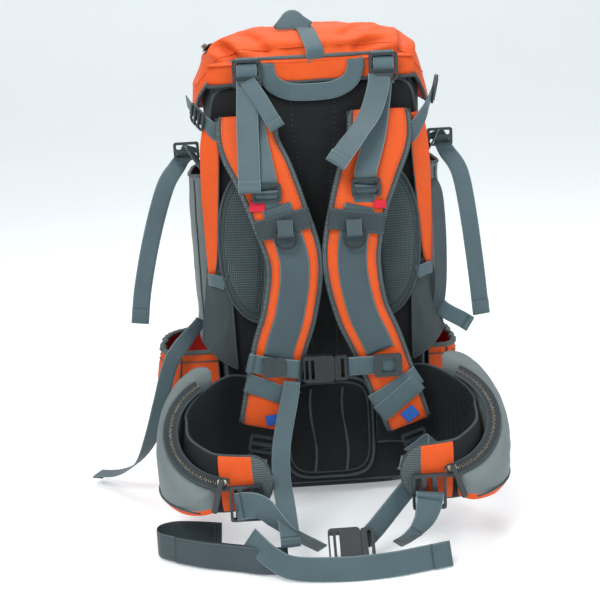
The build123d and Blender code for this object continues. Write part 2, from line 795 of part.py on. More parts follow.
with BuildPart() as lid_shell:
    loft(sections=[
        lid_level(lid_hem, 0, 0, 0),
        lid_level(lid_shoulder, lid_shoulder_inset, lid_back_inset, 0),
        lid_level(lid_top, lid_top_inset, lid_back_top_inset, 0),
    ], ruled=True)
    loft(sections=[
        lid_level(lid_hem - 1, 0, 0, lid_wall),
        lid_level(lid_shoulder, lid_shoulder_inset, lid_back_inset, lid_wall),
        lid_level(lid_top - lid_wall, lid_top_inset, lid_back_top_inset, lid_wall),
    ], ruled=True, mode=Mode.SUBTRACT)
    below = lid_hem - 40
    behind = hinge_y - 40
    with BuildSketch(Plane.YZ.offset(-lid_width)):
        Polygon((behind, below), (behind, hinge_z), (hinge_y + 8, hinge_z), (skirt_y, below), align=None)
    extrude(amount=2 * lid_width, mode=Mode.SUBTRACT)
finish(lid_shell, "lid_shell")

lining_share = (lid_lining_z - lid_hem) / (lid_shoulder - lid_hem)
lining_inset_x = lid_shoulder_inset * lining_share
lining_inset_y = lid_back_inset * lining_share

with BuildPart() as lid_lining:
    level = lid_level(lid_lining_z, lining_inset_x, lining_inset_y, lid_wall + lining_gap + 1)
    extrude(level, amount=lid_lining_thickness)
    with BuildSketch(Plane.XY.offset(lid_lining_z - 1)):
        with Locations((0, hinge_y)):
            Rectangle(lid_width, 2 * lining_back_cut)
    extrude(amount=lid_lining_thickness + 2, mode=Mode.SUBTRACT)
finish(lid_lining, "lid_lining")

lid_strap_y = lid_centre_y - lid_half_depth + lid_back_inset

# Front straps: sockets on the bag, tongues on the lid, lined up with the arc that the lid swings through

front_mouth_y = bag_front + front_mouth_out
front_mouth_z = lid_hem - front_mouth_drop
arc_run = Vector(0, hinge_z - front_mouth_z, front_mouth_y - hinge_y).normalized()


def front_buckle(side):
    """The plane of a front buckle's mouth, its x along the lid's arc, upward."""
    mouth = (side * front_strap_x, front_mouth_y, front_mouth_z)
    return Plane(origin=mouth, x_dir=arc_run, z_dir=arc_run.cross(Vector(1, 0, 0)))


with BuildPart() as front_sockets:
    for side in (-1, 1):
        buckle_socket(front_buckle(side), webbing_narrow)
finish(front_sockets, "front_sockets")

with BuildPart() as front_tongues:
    for side in (-1, 1):
        buckle_tongue(front_buckle(side), webbing_narrow)
finish(front_tongues, "front_tongues")

with BuildPart() as lid_straps:
    low_end = (8, lid_strap_y - 3, lid_shoulder)
    high_end = (-4, lid_strap_y + 37, lid_top + 2.4)
    webbing([low_end, (2, lid_strap_y + 14, lid_shoulder + 22), high_end], (1, 0, 0))
    arrow = Plane(origin=(-14, lid_strap_y + 52, lid_top + 6.5))
    slab(arrow, webbing_narrow + 14, webbing_narrow - 1, webbing_thickness, 2)
    for side in (-1, 1):
        near = front_buckle(side).origin + arc_run * (tongue_length + buckle_gap + slot_gap)
        hem = (side * front_strap_x, lid_centre_y + lid_half_depth + 2.2, lid_hem + 6)
        top = (side * front_strap_x, lid_centre_y + lid_half_depth + 1.4, lid_hem + 44)
        webbing([tuple(near), hem, top], (1, 0, 0))
finish(lid_straps, "lid_straps")

with BuildPart() as front_bag_straps:
    for side in (-1, 1):
        near = front_buckle(side).origin - arc_run * (socket_length + socket_bar_frame + slot_gap)
        low = (side * front_strap_x, bag_front + 4, front_pocket_bottom + front_pocket_height + 6)
        webbing([tuple(near), low], (1, 0, 0))
finish(front_bag_straps, "front_bag_straps")

# Lid zip on the left shoulder of the lid

lid_slope = Vector(lid_top_inset - lid_shoulder_inset, 0, lid_top - lid_shoulder).normalized()
lid_edge = Vector(lid_shoulder_inset - lid_width / 2, lid_zip_y, lid_shoulder)
zip_from = lid_edge + lid_slope * (zip_width / 2 + 2)
lid_zip_normal = Vector(-lid_slope.Z, 0, lid_slope.X)
lid_zip_out = zip_thickness / 2 + layer_gap
lid_zip_plane = Plane(origin=zip_from + lid_zip_normal * lid_zip_out, x_dir=(0, 1, 0), z_dir=lid_zip_normal)

with BuildPart() as lid_zip:
    middle = shifted(lid_zip_plane, along=lid_zip_length / 2)
    slab(middle, lid_zip_length, zip_width * 0.75, zip_thickness, 1)
finish(lid_zip, "lid_zip")

lid_slider_plane = shifted(lid_zip_plane, along=10, out=slide_out)

with BuildPart() as lid_slider:
    slab(lid_slider_plane, slider_width + 4, slider_width, slider_height, 2.5)
    slab(shifted(lid_slider_plane, along=-14, out=slider_height / 2), 24, 6, 2.0, 2.5)
finish(lid_slider, "lid_slider")

# Compression straps on the bag's sides, tails loose

with BuildPart() as side_straps:
    upper_left = [(36, -64, 474), (55, -72, 456), (84, -78, 360), (104, -82, 262)]
    webbing(beside_bag(upper_left, -1), (1, -0.2, 0))
    upper_right = [(32, -64, 474), (48, -72, 446), (64, -78, 340), (74, -82, 246)]
    webbing(beside_bag(upper_right, 1), (1, 0.2, 0))
    lower_left = [
        (42, -82, 236), (66, -90, 204), (84, -92, 150), (104, -90, 92),
        (128, -74, 52), (162, -44, 24), (198, -14, 14),
    ]
    turning = [(0.4, -0.9, 0)] * 3 + [(0.5, -0.8, 0.2)] * 2 + [(0.5, -0.5, 0.6)] * 2
    webbing(beside_bag(lower_left, -1), turning)
    webbing(beside_bag([(18, -108, 262), (42, -114, 248)], 1), (0, -0.3, 1))
finish(side_straps, "side_straps")

# Webbing under the shoulder straps, with the right one's long loose tail

with BuildPart() as lower_webbing:
    for line, foot_x in ((left_strap_line, -100), (right_strap_line, 104)):
        low = lock_below(line).origin + strap_run(line, 7) * (lock_rim + 17)
        webbing([tuple(low), (foot_x, -162, 62), (foot_x, -124, 40)], (1, 0, 0))
finish(lower_webbing, "lower_webbing")
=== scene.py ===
import bpy
import math
from mathutils import Matrix, Vector, noise
from mathutils.bvhtree import BVHTree


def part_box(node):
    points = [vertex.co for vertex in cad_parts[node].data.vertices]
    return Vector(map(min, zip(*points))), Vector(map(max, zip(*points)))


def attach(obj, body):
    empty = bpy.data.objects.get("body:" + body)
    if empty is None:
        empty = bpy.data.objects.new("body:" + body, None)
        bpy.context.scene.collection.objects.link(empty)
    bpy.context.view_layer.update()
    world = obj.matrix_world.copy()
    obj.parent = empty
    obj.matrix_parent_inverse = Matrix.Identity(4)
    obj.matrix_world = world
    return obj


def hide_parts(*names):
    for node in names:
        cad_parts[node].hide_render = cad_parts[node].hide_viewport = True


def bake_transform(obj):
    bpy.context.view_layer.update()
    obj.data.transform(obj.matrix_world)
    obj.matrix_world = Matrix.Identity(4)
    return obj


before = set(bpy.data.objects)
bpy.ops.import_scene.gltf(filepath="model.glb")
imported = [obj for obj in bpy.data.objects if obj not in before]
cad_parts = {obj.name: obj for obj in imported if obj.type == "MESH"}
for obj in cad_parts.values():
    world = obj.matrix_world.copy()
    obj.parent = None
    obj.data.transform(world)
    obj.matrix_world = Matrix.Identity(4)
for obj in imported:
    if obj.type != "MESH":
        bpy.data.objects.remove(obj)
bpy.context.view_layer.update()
print("frame loaded")

# Lengths are millimetres in the dictionaries and while a mesh is made, and metres in Blender.
millimetre = 0.001


def lerp(a, b, share):
    return a + (b - a) * share


def smooth(share):
    share = max(0.0, min(1.0, share))
    return share * share * (3 - 2 * share)


def hill(value, centre, width):
    return math.exp(-((value - centre) / width) ** 2)


def signedPower(value, power):
    return math.copysign(abs(value) ** power, value)


knownBoxes = {}


def nodeBox(name):
    if name not in knownBoxes:
        low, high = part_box(name)
        knownBoxes[name] = (low * 1000, high * 1000)
    return knownBoxes[name]


def wrinkle(place, size, seed=0):
    # smooth noise from about -1 to 1, with folds about this size
    return noise.noise(Vector(place) / size + Vector((seed * 7.3, seed * 3.1, seed * 5.7)))


def splineAt(values, share):
    # Catmull-Rom through the values, with share counted in spans
    last = len(values) - 1
    i = min(int(share), last - 1)
    t = share - i
    before, a, b, after = values[max(i - 1, 0)], values[i], values[i + 1], values[min(i + 2, last)]
    return 0.5 * (2 * a + (b - before) * t + (2 * before - 5 * a + 4 * b - after) * t * t
                  + (3 * a - before - 3 * b + after) * t * t * t)


def evenPlaces(points, step):
    # evenly spaced shares along a smooth line through the points
    last = len(points) - 1
    fine = [i / 24 for i in range(last * 24 + 1)]
    places = [splineAt(points, share) for share in fine]
    lengths = [0.0]
    for a, b in zip(places, places[1:]):
        lengths.append(lengths[-1] + (b - a).length)
    count = max(2, round(lengths[-1] / step))
    found, j = [], 0
    for i in range(count + 1):
        want = lengths[-1] * i / count
        while j < len(lengths) - 2 and lengths[j + 1] < want:
            j += 1
        span = max(lengths[j + 1] - lengths[j], 1e-9)
        found.append((lerp(fine[j], fine[j + 1], (want - lengths[j]) / span), want))
    return found


def asList(value, count):
    return list(value) if isinstance(value, (list, tuple)) else [value] * count


def strapLine(stations, across=(1, 0, 0), widths=25.0, step=5.0):
    # places along a strap: centre, side, face, width and the length so far; face points to tangent x side
    points = [Vector(s) for s in stations]
    many = isinstance(across[0], (list, tuple))
    sides = [Vector(a) for a in across] if many else [Vector(across)] * len(points)
    broad = asList(widths, len(points))
    shares = evenPlaces(points, step)
    centres = [splineAt(points, share) for share, _ in shares]
    line = []
    for i, (share, length) in enumerate(shares):
        tangent = (centres[min(i + 1, len(centres) - 1)] - centres[max(i - 1, 0)]).normalized()
        side = splineAt(sides, share)
        side = (side - tangent * side.dot(tangent)).normalized()
        line.append((centres[i], side, tangent.cross(side), splineAt(broad, share), length))
    return line


# A piece is gathered as plain lists first, so several parts of it become one mesh.
def startPiece():
    return {"verts": [], "faces": [], "slots": [], "uvs": []}


def addRows(piece, rows, slot=0, around=False, uvRows=None, slots=None, flip=False):
    # a net of points: each row joins the next, and around joins a row's end to its start
    base, wide = len(piece["verts"]), len(rows[0])
    for i, row in enumerate(rows):
        for j, point in enumerate(row):
            piece["verts"].append(Vector(point))
            piece["uvs"].append(uvRows[i][j] if uvRows else (j / wide, i * 0.01))
    for i in range(len(rows) - 1):
        for j in range(wide if around else wide - 1):
            a, b = base + i * wide + j, base + i * wide + (j + 1) % wide
            face = (a, b, b + wide, a + wide)
            piece["faces"].append(face[::-1] if flip else face)
            piece["slots"].append(slots[j] if slots else slot)
    return base


def closeRow(piece, start, count, slot=0, flip=False):
    loop = list(range(start, start + count))
    piece["faces"].append(tuple(loop[::-1] if flip else loop))
    piece["slots"].append(slot)


def addRibbon(piece, line, thick, slot=0, columns=8, lift=0.0, crown=0.0, ripple=0.0, seed=0, part=1.0):
    # a strap of rounded flat section; lift moves it off its own face, part narrows or widens it
    rows, uvRows = [], []
    for centre, side, face, width, length in line:
        row, uvRow = [], []
        wave = ripple * wrinkle(centre, 45, seed)
        for under in (False, True):
            for j in range(columns + 1):
                u = j / columns - 0.5
                u = -u if under else u
                edge = 0.5 * math.sin(math.pi * u)
                rise = thick / 2 * (1 - abs(2 * edge) ** 6) ** (1 / 6)
                high = lift + wave + (-rise if under else rise + crown * (1 - (2 * edge) ** 2))
                row.append(centre + side * (edge * width * part) + face * high)
                uvRow.append((edge + 0.5, length * millimetre))
        rows.append(row)
        uvRows.append(uvRow)
    wide = len(rows[0])
    base = addRows(piece, rows, slot, True, uvRows)
    closeRow(piece, base, wide, slot, True)
    closeRow(piece, base + (len(rows) - 1) * wide, wide, slot)


def addTube(piece, points, radius, slot=0, sides=8, closed=False, flat=1.0, up=(0, 0, 1)):
    # a round cord, piping or hem along the points
    rows, count = [], len(points)
    points = [Vector(p) for p in points]
    length, uvRows = 0.0, []
    ring = Vector(up)
    for i, point in enumerate(points):
        after = points[(i + 1) % count] if closed else points[min(i + 1, count - 1)]
        before = points[i - 1] if closed else points[max(i - 1, 0)]
        tangent = (after - before).normalized()
        ring = ring - tangent * ring.dot(tangent)
        if ring.length < 0.01:
            ring = tangent.orthogonal()
        ring.normalize()
        other = tangent.cross(ring)
        if i:
            length += (point - points[i - 1]).length
        rows.append([point + (ring * math.cos(a) * flat + other * math.sin(a)) * radius
                     for a in (2 * math.pi * k / sides for k in range(sides))])
        uvRows.append([(k / sides, length * millimetre) for k in range(sides)])
    if closed:
        rows.append(rows[0])
        uvRows.append(uvRows[0])
    base = addRows(piece, rows, slot, True, uvRows)
    if not closed:
        closeRow(piece, base, sides, slot, True)
        closeRow(piece, base + (len(rows) - 1) * sides, sides, slot)


def alongLine(line, sideways, height):
    # points that follow a strap at a share of its width and a height over its middle
    return [c + s * (sideways * w) + f * height for c, s, f, w, length in line]


def partLine(line, first, last):
    return [place for place in line if first - 0.01 <= place[4] <= last + 0.01]


def addStitches(piece, points, slot, length=3.2, gap=1.6, radius=0.35):
    # a row of short threads lying along the points
    points = [Vector(p) for p in points]
    walked, wanted = 0.0, 0.0
    starts = []
    for a, b in zip(points, points[1:]):
        span = (b - a).length
        while wanted <= walked + span and span > 0:
            starts.append((a + (b - a) * ((wanted - walked) / span), (b - a).normalized()))
            wanted += length + gap
        walked += span
    for place, way in starts:
        addTube(piece, [place, place + way * length * 0.5, place + way * length], radius, slot, 5)


def sewEdges(piece, line, share, height):
    # a row of stitches along each edge of a strap
    for sideways in (-share, share):
        addStitches(piece, alongLine(line, sideways, height), 1, 3, 2, 0.3)


def addHem(piece, line, thick, slot, size, atEnd=True, sideSign=1):
    # the strap's end folded back on itself and sewn down with two rows
    whole = line[-1][4]
    short = partLine(line, whole - size, whole) if atEnd else partLine(line, 0, size)
    if len(short) < 2:
        return
    addRibbon(piece, short, thick, slot, lift=sideSign * thick * 0.98, part=1.01)
    top = sideSign * thick * 1.5
    for place in (short[1], short[-2]) if len(short) > 3 else (short[0], short[-1]):
        centre, side, face, width, _ = place
        row = [centre + side * (width * s) + face * top for s in (-0.42, -0.2, 0.0, 0.2, 0.42)]
        addStitches(piece, row, 1)


def endPiece(name, piece, materials, body=None, nodes=()):
    # the gathered lists as one object, which rides on a CAD body and stands for CAD nodes
    mesh = bpy.data.meshes.new(name)
    mesh.from_pydata([v * millimetre for v in piece["verts"]], [], piece["faces"])
    for material in materials:
        mesh.materials.append(material)
    mesh.polygons.foreach_set("material_index", piece["slots"])
    mesh.polygons.foreach_set("use_smooth", [True] * len(mesh.polygons))
    layer = mesh.uv_layers.new(name="flat")
    flatUv = []
    for loop in mesh.loops:
        flatUv.extend(piece["uvs"][loop.vertex_index])
    layer.data.foreach_set("uv", flatUv)
    mesh.update()
    obj = bpy.data.objects.new(name, mesh)
    bpy.context.scene.collection.objects.link(obj)
    if body:
        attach(obj, body)
    if nodes:
        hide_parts(*nodes)
    return obj


def link(tree, out, into):
    tree.links.new(out, into)


def calc(tree, operation, a, b=None):
    node = tree.nodes.new("ShaderNodeMath")
    node.operation = operation
    for socket, value in zip(node.inputs, (a, b)):
        if isinstance(value, (int, float)):
            socket.default_value = value
        elif value is not None:
            link(tree, value, socket)
    return node.outputs[0]


def blendColour(tree, factor, a, b):
    node = tree.nodes.new("ShaderNodeMix")
    node.data_type = "RGBA"
    link(tree, factor, node.inputs["Factor"])
    for value, socket in ((a, node.inputs[6]), (b, node.inputs[7])):
        if isinstance(value, tuple):
            socket.default_value = (*value, 1)
        else:
            link(tree, value, socket)
    return node.outputs[2]


def spread(tree, value, low, high):
    node = tree.nodes.new("ShaderNodeMapRange")
    node.inputs["From Min"].default_value = low
    node.inputs["From Max"].default_value = high
    link(tree, value, node.inputs["Value"])
    return node.outputs[0]


def cloudy(tree, place, scale, detail=3.0, low=0.35, high=0.65):
    node = tree.nodes.new("ShaderNodeTexNoise")
    node.inputs["Scale"].default_value = scale
    node.inputs["Detail"].default_value = detail
    link(tree, place, node.inputs["Vector"])
    return spread(tree, node.outputs["Fac"], low, high)


def axes(tree, place):
    node = tree.nodes.new("ShaderNodeSeparateXYZ")
    link(tree, place, node.inputs[0])
    return node.outputs


def thread(tree, value, pitch):
    # a wave from -1 to 1 with this pitch in metres
    return calc(tree, "SINE", calc(tree, "MULTIPLY", value, 2 * math.pi / pitch))


def relief(tree, shader, height, depth, under=None):
    node = tree.nodes.new("ShaderNodeBump")
    node.inputs["Distance"].default_value = depth
    link(tree, height, node.inputs["Height"])
    if under:
        link(tree, under, node.inputs["Normal"])
    link(tree, node.outputs[0], shader.inputs["Normal"])
    return node.outputs[0]


def newMaterial(name):
    material = bpy.data.materials.new(name)
    material.use_nodes = True
    tree = material.node_tree
    places = tree.nodes.new("ShaderNodeTexCoord").outputs["Object"]
    return material, tree, tree.nodes["Principled BSDF"], places


def wovenCloth(name, colour, weave=0.0011, roughness=0.62, sheen=0.06, creases=0.0014, pale=1.15,
               shine=0.35):
    # plain-woven coated nylon: crossed threads, soft creases, slightly uneven dye and rubbed spots
    material, tree, shader, place = newMaterial(name)
    x, y, z = axes(tree, place)
    crossed = calc(tree, "ADD", thread(tree, calc(tree, "ADD", x, y), weave), thread(tree, z, weave))
    grain = calc(tree, "MULTIPLY", calc(tree, "ADD", crossed, 2.0), 0.25)
    rubbed = cloudy(tree, place, 120, 2)
    base = blendColour(tree, cloudy(tree, place, 9, 4), colour, tuple(c * 0.88 for c in colour))
    base = blendColour(tree, calc(tree, "MULTIPLY", grain, 0.16), base, tuple(c * 0.45 for c in colour))
    base = blendColour(tree, calc(tree, "MULTIPLY", rubbed, 0.2), base,
                       tuple(min(1, c * pale + 0.01) for c in colour))
    link(tree, base, shader.inputs["Base Color"])
    link(tree, calc(tree, "ADD", calc(tree, "MULTIPLY", rubbed, 0.1), roughness - 0.05),
         shader.inputs["Roughness"])
    shader.inputs["Sheen Weight"].default_value = sheen
    shader.inputs["Sheen Roughness"].default_value = 0.45
    shader.inputs["Specular IOR Level"].default_value = shine
    folds = relief(tree, shader, cloudy(tree, place, 26, 4, 0.2, 0.8), creases)
    relief(tree, shader, grain, 0.00018, folds)
    return material


def airMesh(name, colour, hole, pitch=0.0042, sheen=0.08, shine=0.3):
    # padded spacer mesh: slanting rows of small holes over a darker ground
    material, tree, shader, place = newMaterial(name)
    x, y, z = axes(tree, place)
    across = calc(tree, "ADD", x, calc(tree, "MULTIPLY", y, 0.6))
    slant = calc(tree, "MULTIPLY", z, 0.62)
    net = calc(tree, "MULTIPLY", thread(tree, calc(tree, "ADD", across, slant), pitch),
               thread(tree, calc(tree, "SUBTRACT", across, slant), pitch))
    holes = spread(tree, net, 0.05, 0.55)
    ground = blendColour(tree, cloudy(tree, place, 14), colour, tuple(c * 0.8 for c in colour))
    link(tree, blendColour(tree, holes, ground, hole), shader.inputs["Base Color"])
    shader.inputs["Roughness"].default_value = 0.75
    shader.inputs["Sheen Weight"].default_value = sheen
    shader.inputs["Specular IOR Level"].default_value = shine
    relief(tree, shader, calc(tree, "SUBTRACT", 1.0, holes), 0.0007)
    return material


def wovenStrap(name, colour, edge, rib=0.0021, roughness=0.5):
    # webbing with ribs, a slanting twill and paler bound edges; the flat layer runs across and along it
    material, tree, shader, place = newMaterial(name)
    layer = tree.nodes.new("ShaderNodeUVMap")
    layer.uv_map = "flat"
    across, along, _ = axes(tree, layer.outputs[0])
    rim = spread(tree, calc(tree, "ABSOLUTE", calc(tree, "SUBTRACT", across, 0.5)), 0.45, 0.475)
    slant = calc(tree, "ADD", along, calc(tree, "MULTIPLY", across, 0.02))
    weave = calc(tree, "ADD", thread(tree, along, rib), thread(tree, slant, rib * 0.83))
    weave = calc(tree, "MULTIPLY", calc(tree, "ADD", weave, 2.0), 0.25)
    base = blendColour(tree, cloudy(tree, place, 16, 4), colour, tuple(c * 0.84 for c in colour))
    base = blendColour(tree, calc(tree, "MULTIPLY", weave, 0.22), base, tuple(c * 0.5 for c in colour))
    base = blendColour(tree, calc(tree, "MULTIPLY", rim, 0.6), base, edge)
    link(tree, base, shader.inputs["Base Color"])
    shader.inputs["Roughness"].default_value = roughness
    shader.inputs["Sheen Weight"].default_value = 0.1
    shader.inputs["Sheen Roughness"].default_value = 0.4
    relief(tree, shader, weave, 0.00035)
    return material


def mouldedPlastic(name, colour, roughness=0.38):
    # a finely grained moulding with scuffs
    material, tree, shader, place = newMaterial(name)
    scuffs = cloudy(tree, place, 220, 3, 0.45, 0.75)
    worn = tuple(min(1, c * 2.2 + 0.02) for c in colour)
    link(tree, blendColour(tree, calc(tree, "MULTIPLY", scuffs, 0.35), colour, worn),
         shader.inputs["Base Color"])
    link(tree, calc(tree, "ADD", calc(tree, "MULTIPLY", scuffs, 0.2), roughness),
         shader.inputs["Roughness"])
    relief(tree, shader, cloudy(tree, place, 1400, 2), 0.00012)
    return material


def dullMetal(name, colour, roughness=0.35):
    material, tree, shader, place = newMaterial(name)
    worn = cloudy(tree, place, 300)
    link(tree, blendColour(tree, worn, colour, tuple(c * 0.55 for c in colour)),
         shader.inputs["Base Color"])
    link(tree, calc(tree, "ADD", calc(tree, "MULTIPLY", worn, 0.2), roughness), shader.inputs["Roughness"])
    shader.inputs["Metallic"].default_value = 1.0
    relief(tree, shader, worn, 0.00015)
    return material


orange = wovenCloth("orangeCloth", (0.8, 0.094, 0.006))
orangeDeep = wovenCloth("orangeFace", (0.78, 0.094, 0.006), weave=0.0014, creases=0.0007)
greyCloth = wovenCloth("greyCloth", (0.17, 0.205, 0.208), creases=0.0016)
darkCloth = wovenCloth("darkCloth", (0.0085, 0.0105, 0.0115), roughness=0.62, sheen=0.015, creases=0.0018,
                       shine=0.22)
slateCloth = wovenCloth("slateCloth", (0.04, 0.055, 0.06), weave=0.0016)
redCloth = wovenCloth("redLining", (0.55, 0.02, 0.012))
crimson = wovenCloth("crimsonTab", (0.68, 0.01, 0.04), creases=0.0003)
blueCloth = wovenCloth("blueTab", (0.02, 0.12, 0.5), weave=0.0008, creases=0.0002)
padMesh = airMesh("padMesh", (0.075, 0.108, 0.115), (0.009, 0.014, 0.015))
edgeMesh = airMesh("edgeMesh", (0.135, 0.17, 0.175), (0.025, 0.032, 0.034), 0.0036)
lumbarMesh = airMesh("lumbarMesh", (0.0145, 0.019, 0.021), (0.003, 0.004, 0.0045), 0.0038, sheen=0.02,
                     shine=0.2)
webbing = wovenStrap("slateWebbing", (0.075, 0.128, 0.148), (0.26, 0.34, 0.36))
shoulderBand = wovenStrap("shoulderBand", (0.05, 0.088, 0.103), (0.19, 0.25, 0.27))
patchBand = wovenStrap("patchBand", (0.027, 0.046, 0.056), (0.085, 0.12, 0.13))
darkWebbing = wovenStrap("darkWebbing", (0.04, 0.066, 0.077), (0.12, 0.16, 0.17))
elastic = wovenStrap("elasticBand", (0.1, 0.125, 0.13), (0.14, 0.17, 0.175), 0.0032, 0.7)
piping = wovenStrap("pipingTape", (0.05, 0.07, 0.078), (0.07, 0.09, 0.1), 0.0015, 0.6)
sewing = wovenStrap("sewingThread", (0.13, 0.18, 0.2), (0.13, 0.18, 0.2), 0.0012)
zipTape = wovenStrap("zipTape", (0.035, 0.048, 0.055), (0.05, 0.065, 0.07), 0.0014, 0.65)
blackPlastic = mouldedPlastic("blackPlastic", (0.012, 0.014, 0.016))
slatePlastic = mouldedPlastic("slatePlastic", (0.022, 0.032, 0.038), 0.3)
zipMetal = dullMetal("zipMetal", (0.42, 0.38, 0.31))
pullCord = mouldedPlastic("pullCord", (0.02, 0.026, 0.03), 0.6)
stayMetal = dullMetal("stayMetal", (0.7, 0.7, 0.72))
print("materials made")

view = {
    "place": (-0.0582, -1.4997, 0.645),
    "turn": 1.16, "down": 14.40, "roll": 3.18,
    "lens": 63.47,
    "sky": (0.9, 0.955, 0.985), "skyStrength": 0.5,
    "floor": (0.8, 0.83, 0.84), "glow": 0.32,
    "lamps": (  # name, place, target, size, power, colour
        ("keyLamp", (-0.9, -1.6, 2.4), (0, 0, 0.3), 1.3, 42, (1, 0.99, 0.97)),
        ("fillLamp", (1.7, -1.3, 1.5), (0, 0, 0.3), 1.8, 16, (0.95, 0.98, 1)),
        ("topLamp", (0.1, 0.5, 2.6), (0, 0, 0.2), 1.6, 30, (1, 1, 1))),
}


def setView():
    turn, down, roll = (math.radians(view[k]) for k in ("turn", "down", "roll"))
    ahead = Vector((math.sin(turn) * math.cos(down), math.cos(turn) * math.cos(down), -math.sin(down)))
    right = Vector((math.cos(turn), -math.sin(turn), 0))
    up = right.cross(ahead)
    x = right * math.cos(roll) - up * math.sin(roll)
    y = right * math.sin(roll) + up * math.cos(roll)
    data = bpy.data.cameras.new("camera")
    data.lens, data.sensor_width = view["lens"], 36.0
    camera = bpy.data.objects.new("camera", data)
    bpy.context.scene.collection.objects.link(camera)
    turned = Matrix((x, y, -ahead)).transposed().to_4x4()
    camera.matrix_world = Matrix.Translation(view["place"]) @ turned
    bpy.context.scene.camera = camera


def addLamp(name, place, target, size, power, colour):
    data = bpy.data.lights.new(name, "AREA")
    data.shape, data.size, data.energy, data.color = "DISK", size, power, colour
    lamp = bpy.data.objects.new(name, data)
    bpy.context.scene.collection.objects.link(lamp)
    lamp.location = place
    lamp.rotation_euler = (Vector(target) - Vector(place)).to_track_quat("-Z", "Y").to_euler()


def setStage():
    world = bpy.data.worlds.new("studio")
    bpy.context.scene.world = world
    world.use_nodes = True
    sky = world.node_tree.nodes["Background"]
    sky.inputs["Color"].default_value = (*view["sky"], 1)
    sky.inputs["Strength"].default_value = view["skyStrength"]
    for lamp in view["lamps"]:
        addLamp(*lamp)
    rows = []
    for i in range(31):
        share = i / 30
        along = -3.0 + 7.2 * min(share / 0.6, 1)
        rise = 0.0
        if share > 0.6:   # the floor sweeps up into the backdrop
            bend = (share - 0.6) / 0.4
            along = 4.2 + 1.2 * math.sin(min(bend * 1.6, 1) * math.pi / 2)
            rise = 1.2 * (1 - math.cos(min(bend * 1.6, 1) * math.pi / 2)) + max(0, bend - 0.625) * 8
        rows.append([Vector((x, along, rise)) * 1000 for x in (-5, -2, 0, 2, 5)])
    piece = startPiece()
    addRows(piece, rows)
    material, tree, shader, place = newMaterial("paleFloor")
    pale = view["floor"]
    link(tree, blendColour(tree, cloudy(tree, place, 2.5, 5), pale, tuple(c * 0.985 for c in pale)),
         shader.inputs["Base Color"])
    link(tree, calc(tree, "ADD", calc(tree, "MULTIPLY", cloudy(tree, place, 60), 0.08), 0.55),
         shader.inputs["Roughness"])
    shader.inputs["Emission Color"].default_value = (0.93, 0.97, 1.0, 1)
    shader.inputs["Emission Strength"].default_value = view["glow"]
    relief(tree, shader, cloudy(tree, place, 400), 0.0001)
    endPiece("studioFloor", piece, [material])
    bpy.context.scene.view_settings.view_transform = "Standard"


setView()
setStage()
print("camera, lights and floor made")


def paintFaces(piece, first, choose):
    # each face made since first takes the slot that choose gives for its middle
    for i in range(first, len(piece["faces"])):
        corners = [piece["verts"][v] for v in piece["faces"][i]]
        piece["slots"][i] = choose(sum(corners, Vector()) / len(corners))


def roundRing(centre, half, power, z, count=120):
    ring = []
    for k in range(count):
        a = 2 * math.pi * k / count
        ring.append(Vector((centre[0] + half[0] * signedPower(math.cos(a), 2 / power),
                            centre[1] + half[1] * signedPower(math.sin(a), 2 / power), z)))
    return ring


def crumple(rows, deep, size, seed, stretch=(1, 1, 1)):
    # pushes each point of a net along its normal with folds of two sizes
    moved = []
    high, wide = len(rows), len(rows[0])
    for i, row in enumerate(rows):
        new = []
        for j, p in enumerate(row):
            along = row[(j + 1) % wide] - row[j - 1]
            up = rows[min(i + 1, high - 1)][j] - rows[max(i - 1, 0)][j]
            out = along.cross(up)
            place = Vector((p.x * stretch[0], p.y * stretch[1], p.z * stretch[2]))
            push = wrinkle(place, size, seed) * 0.6 + wrinkle(place, size * 0.45, seed + 1) * 0.4
            sharp = 1 - abs(wrinkle(place, size * 0.8, seed + 2)) * 2.2
            push = push - max(0.0, sharp) * 0.5
            new.append(p + out.normalized() * deep * push if out.length > 1e-6 else p)
        moved.append(new)
    return moved


mainBag = {"wall": 3.0, "corner": 5.0, "bottomRound": 26, "fold": 3.2, "foldSize": 85, "greyBelow": 150,
           "seamHeights": (150, 458)}


def bagHalf(z, inset=0.0):
    low, high = nodeBox("main_bag")
    under = mainBag["bottomRound"]
    pull = 0.0
    if z < under:
        pull = under * (1 - math.sqrt(max(0.0, 1 - ((under - z) / under) ** 2)))
    return ((high.x - low.x) / 2 - pull - inset, (high.y - low.y) / 2 - pull - inset)


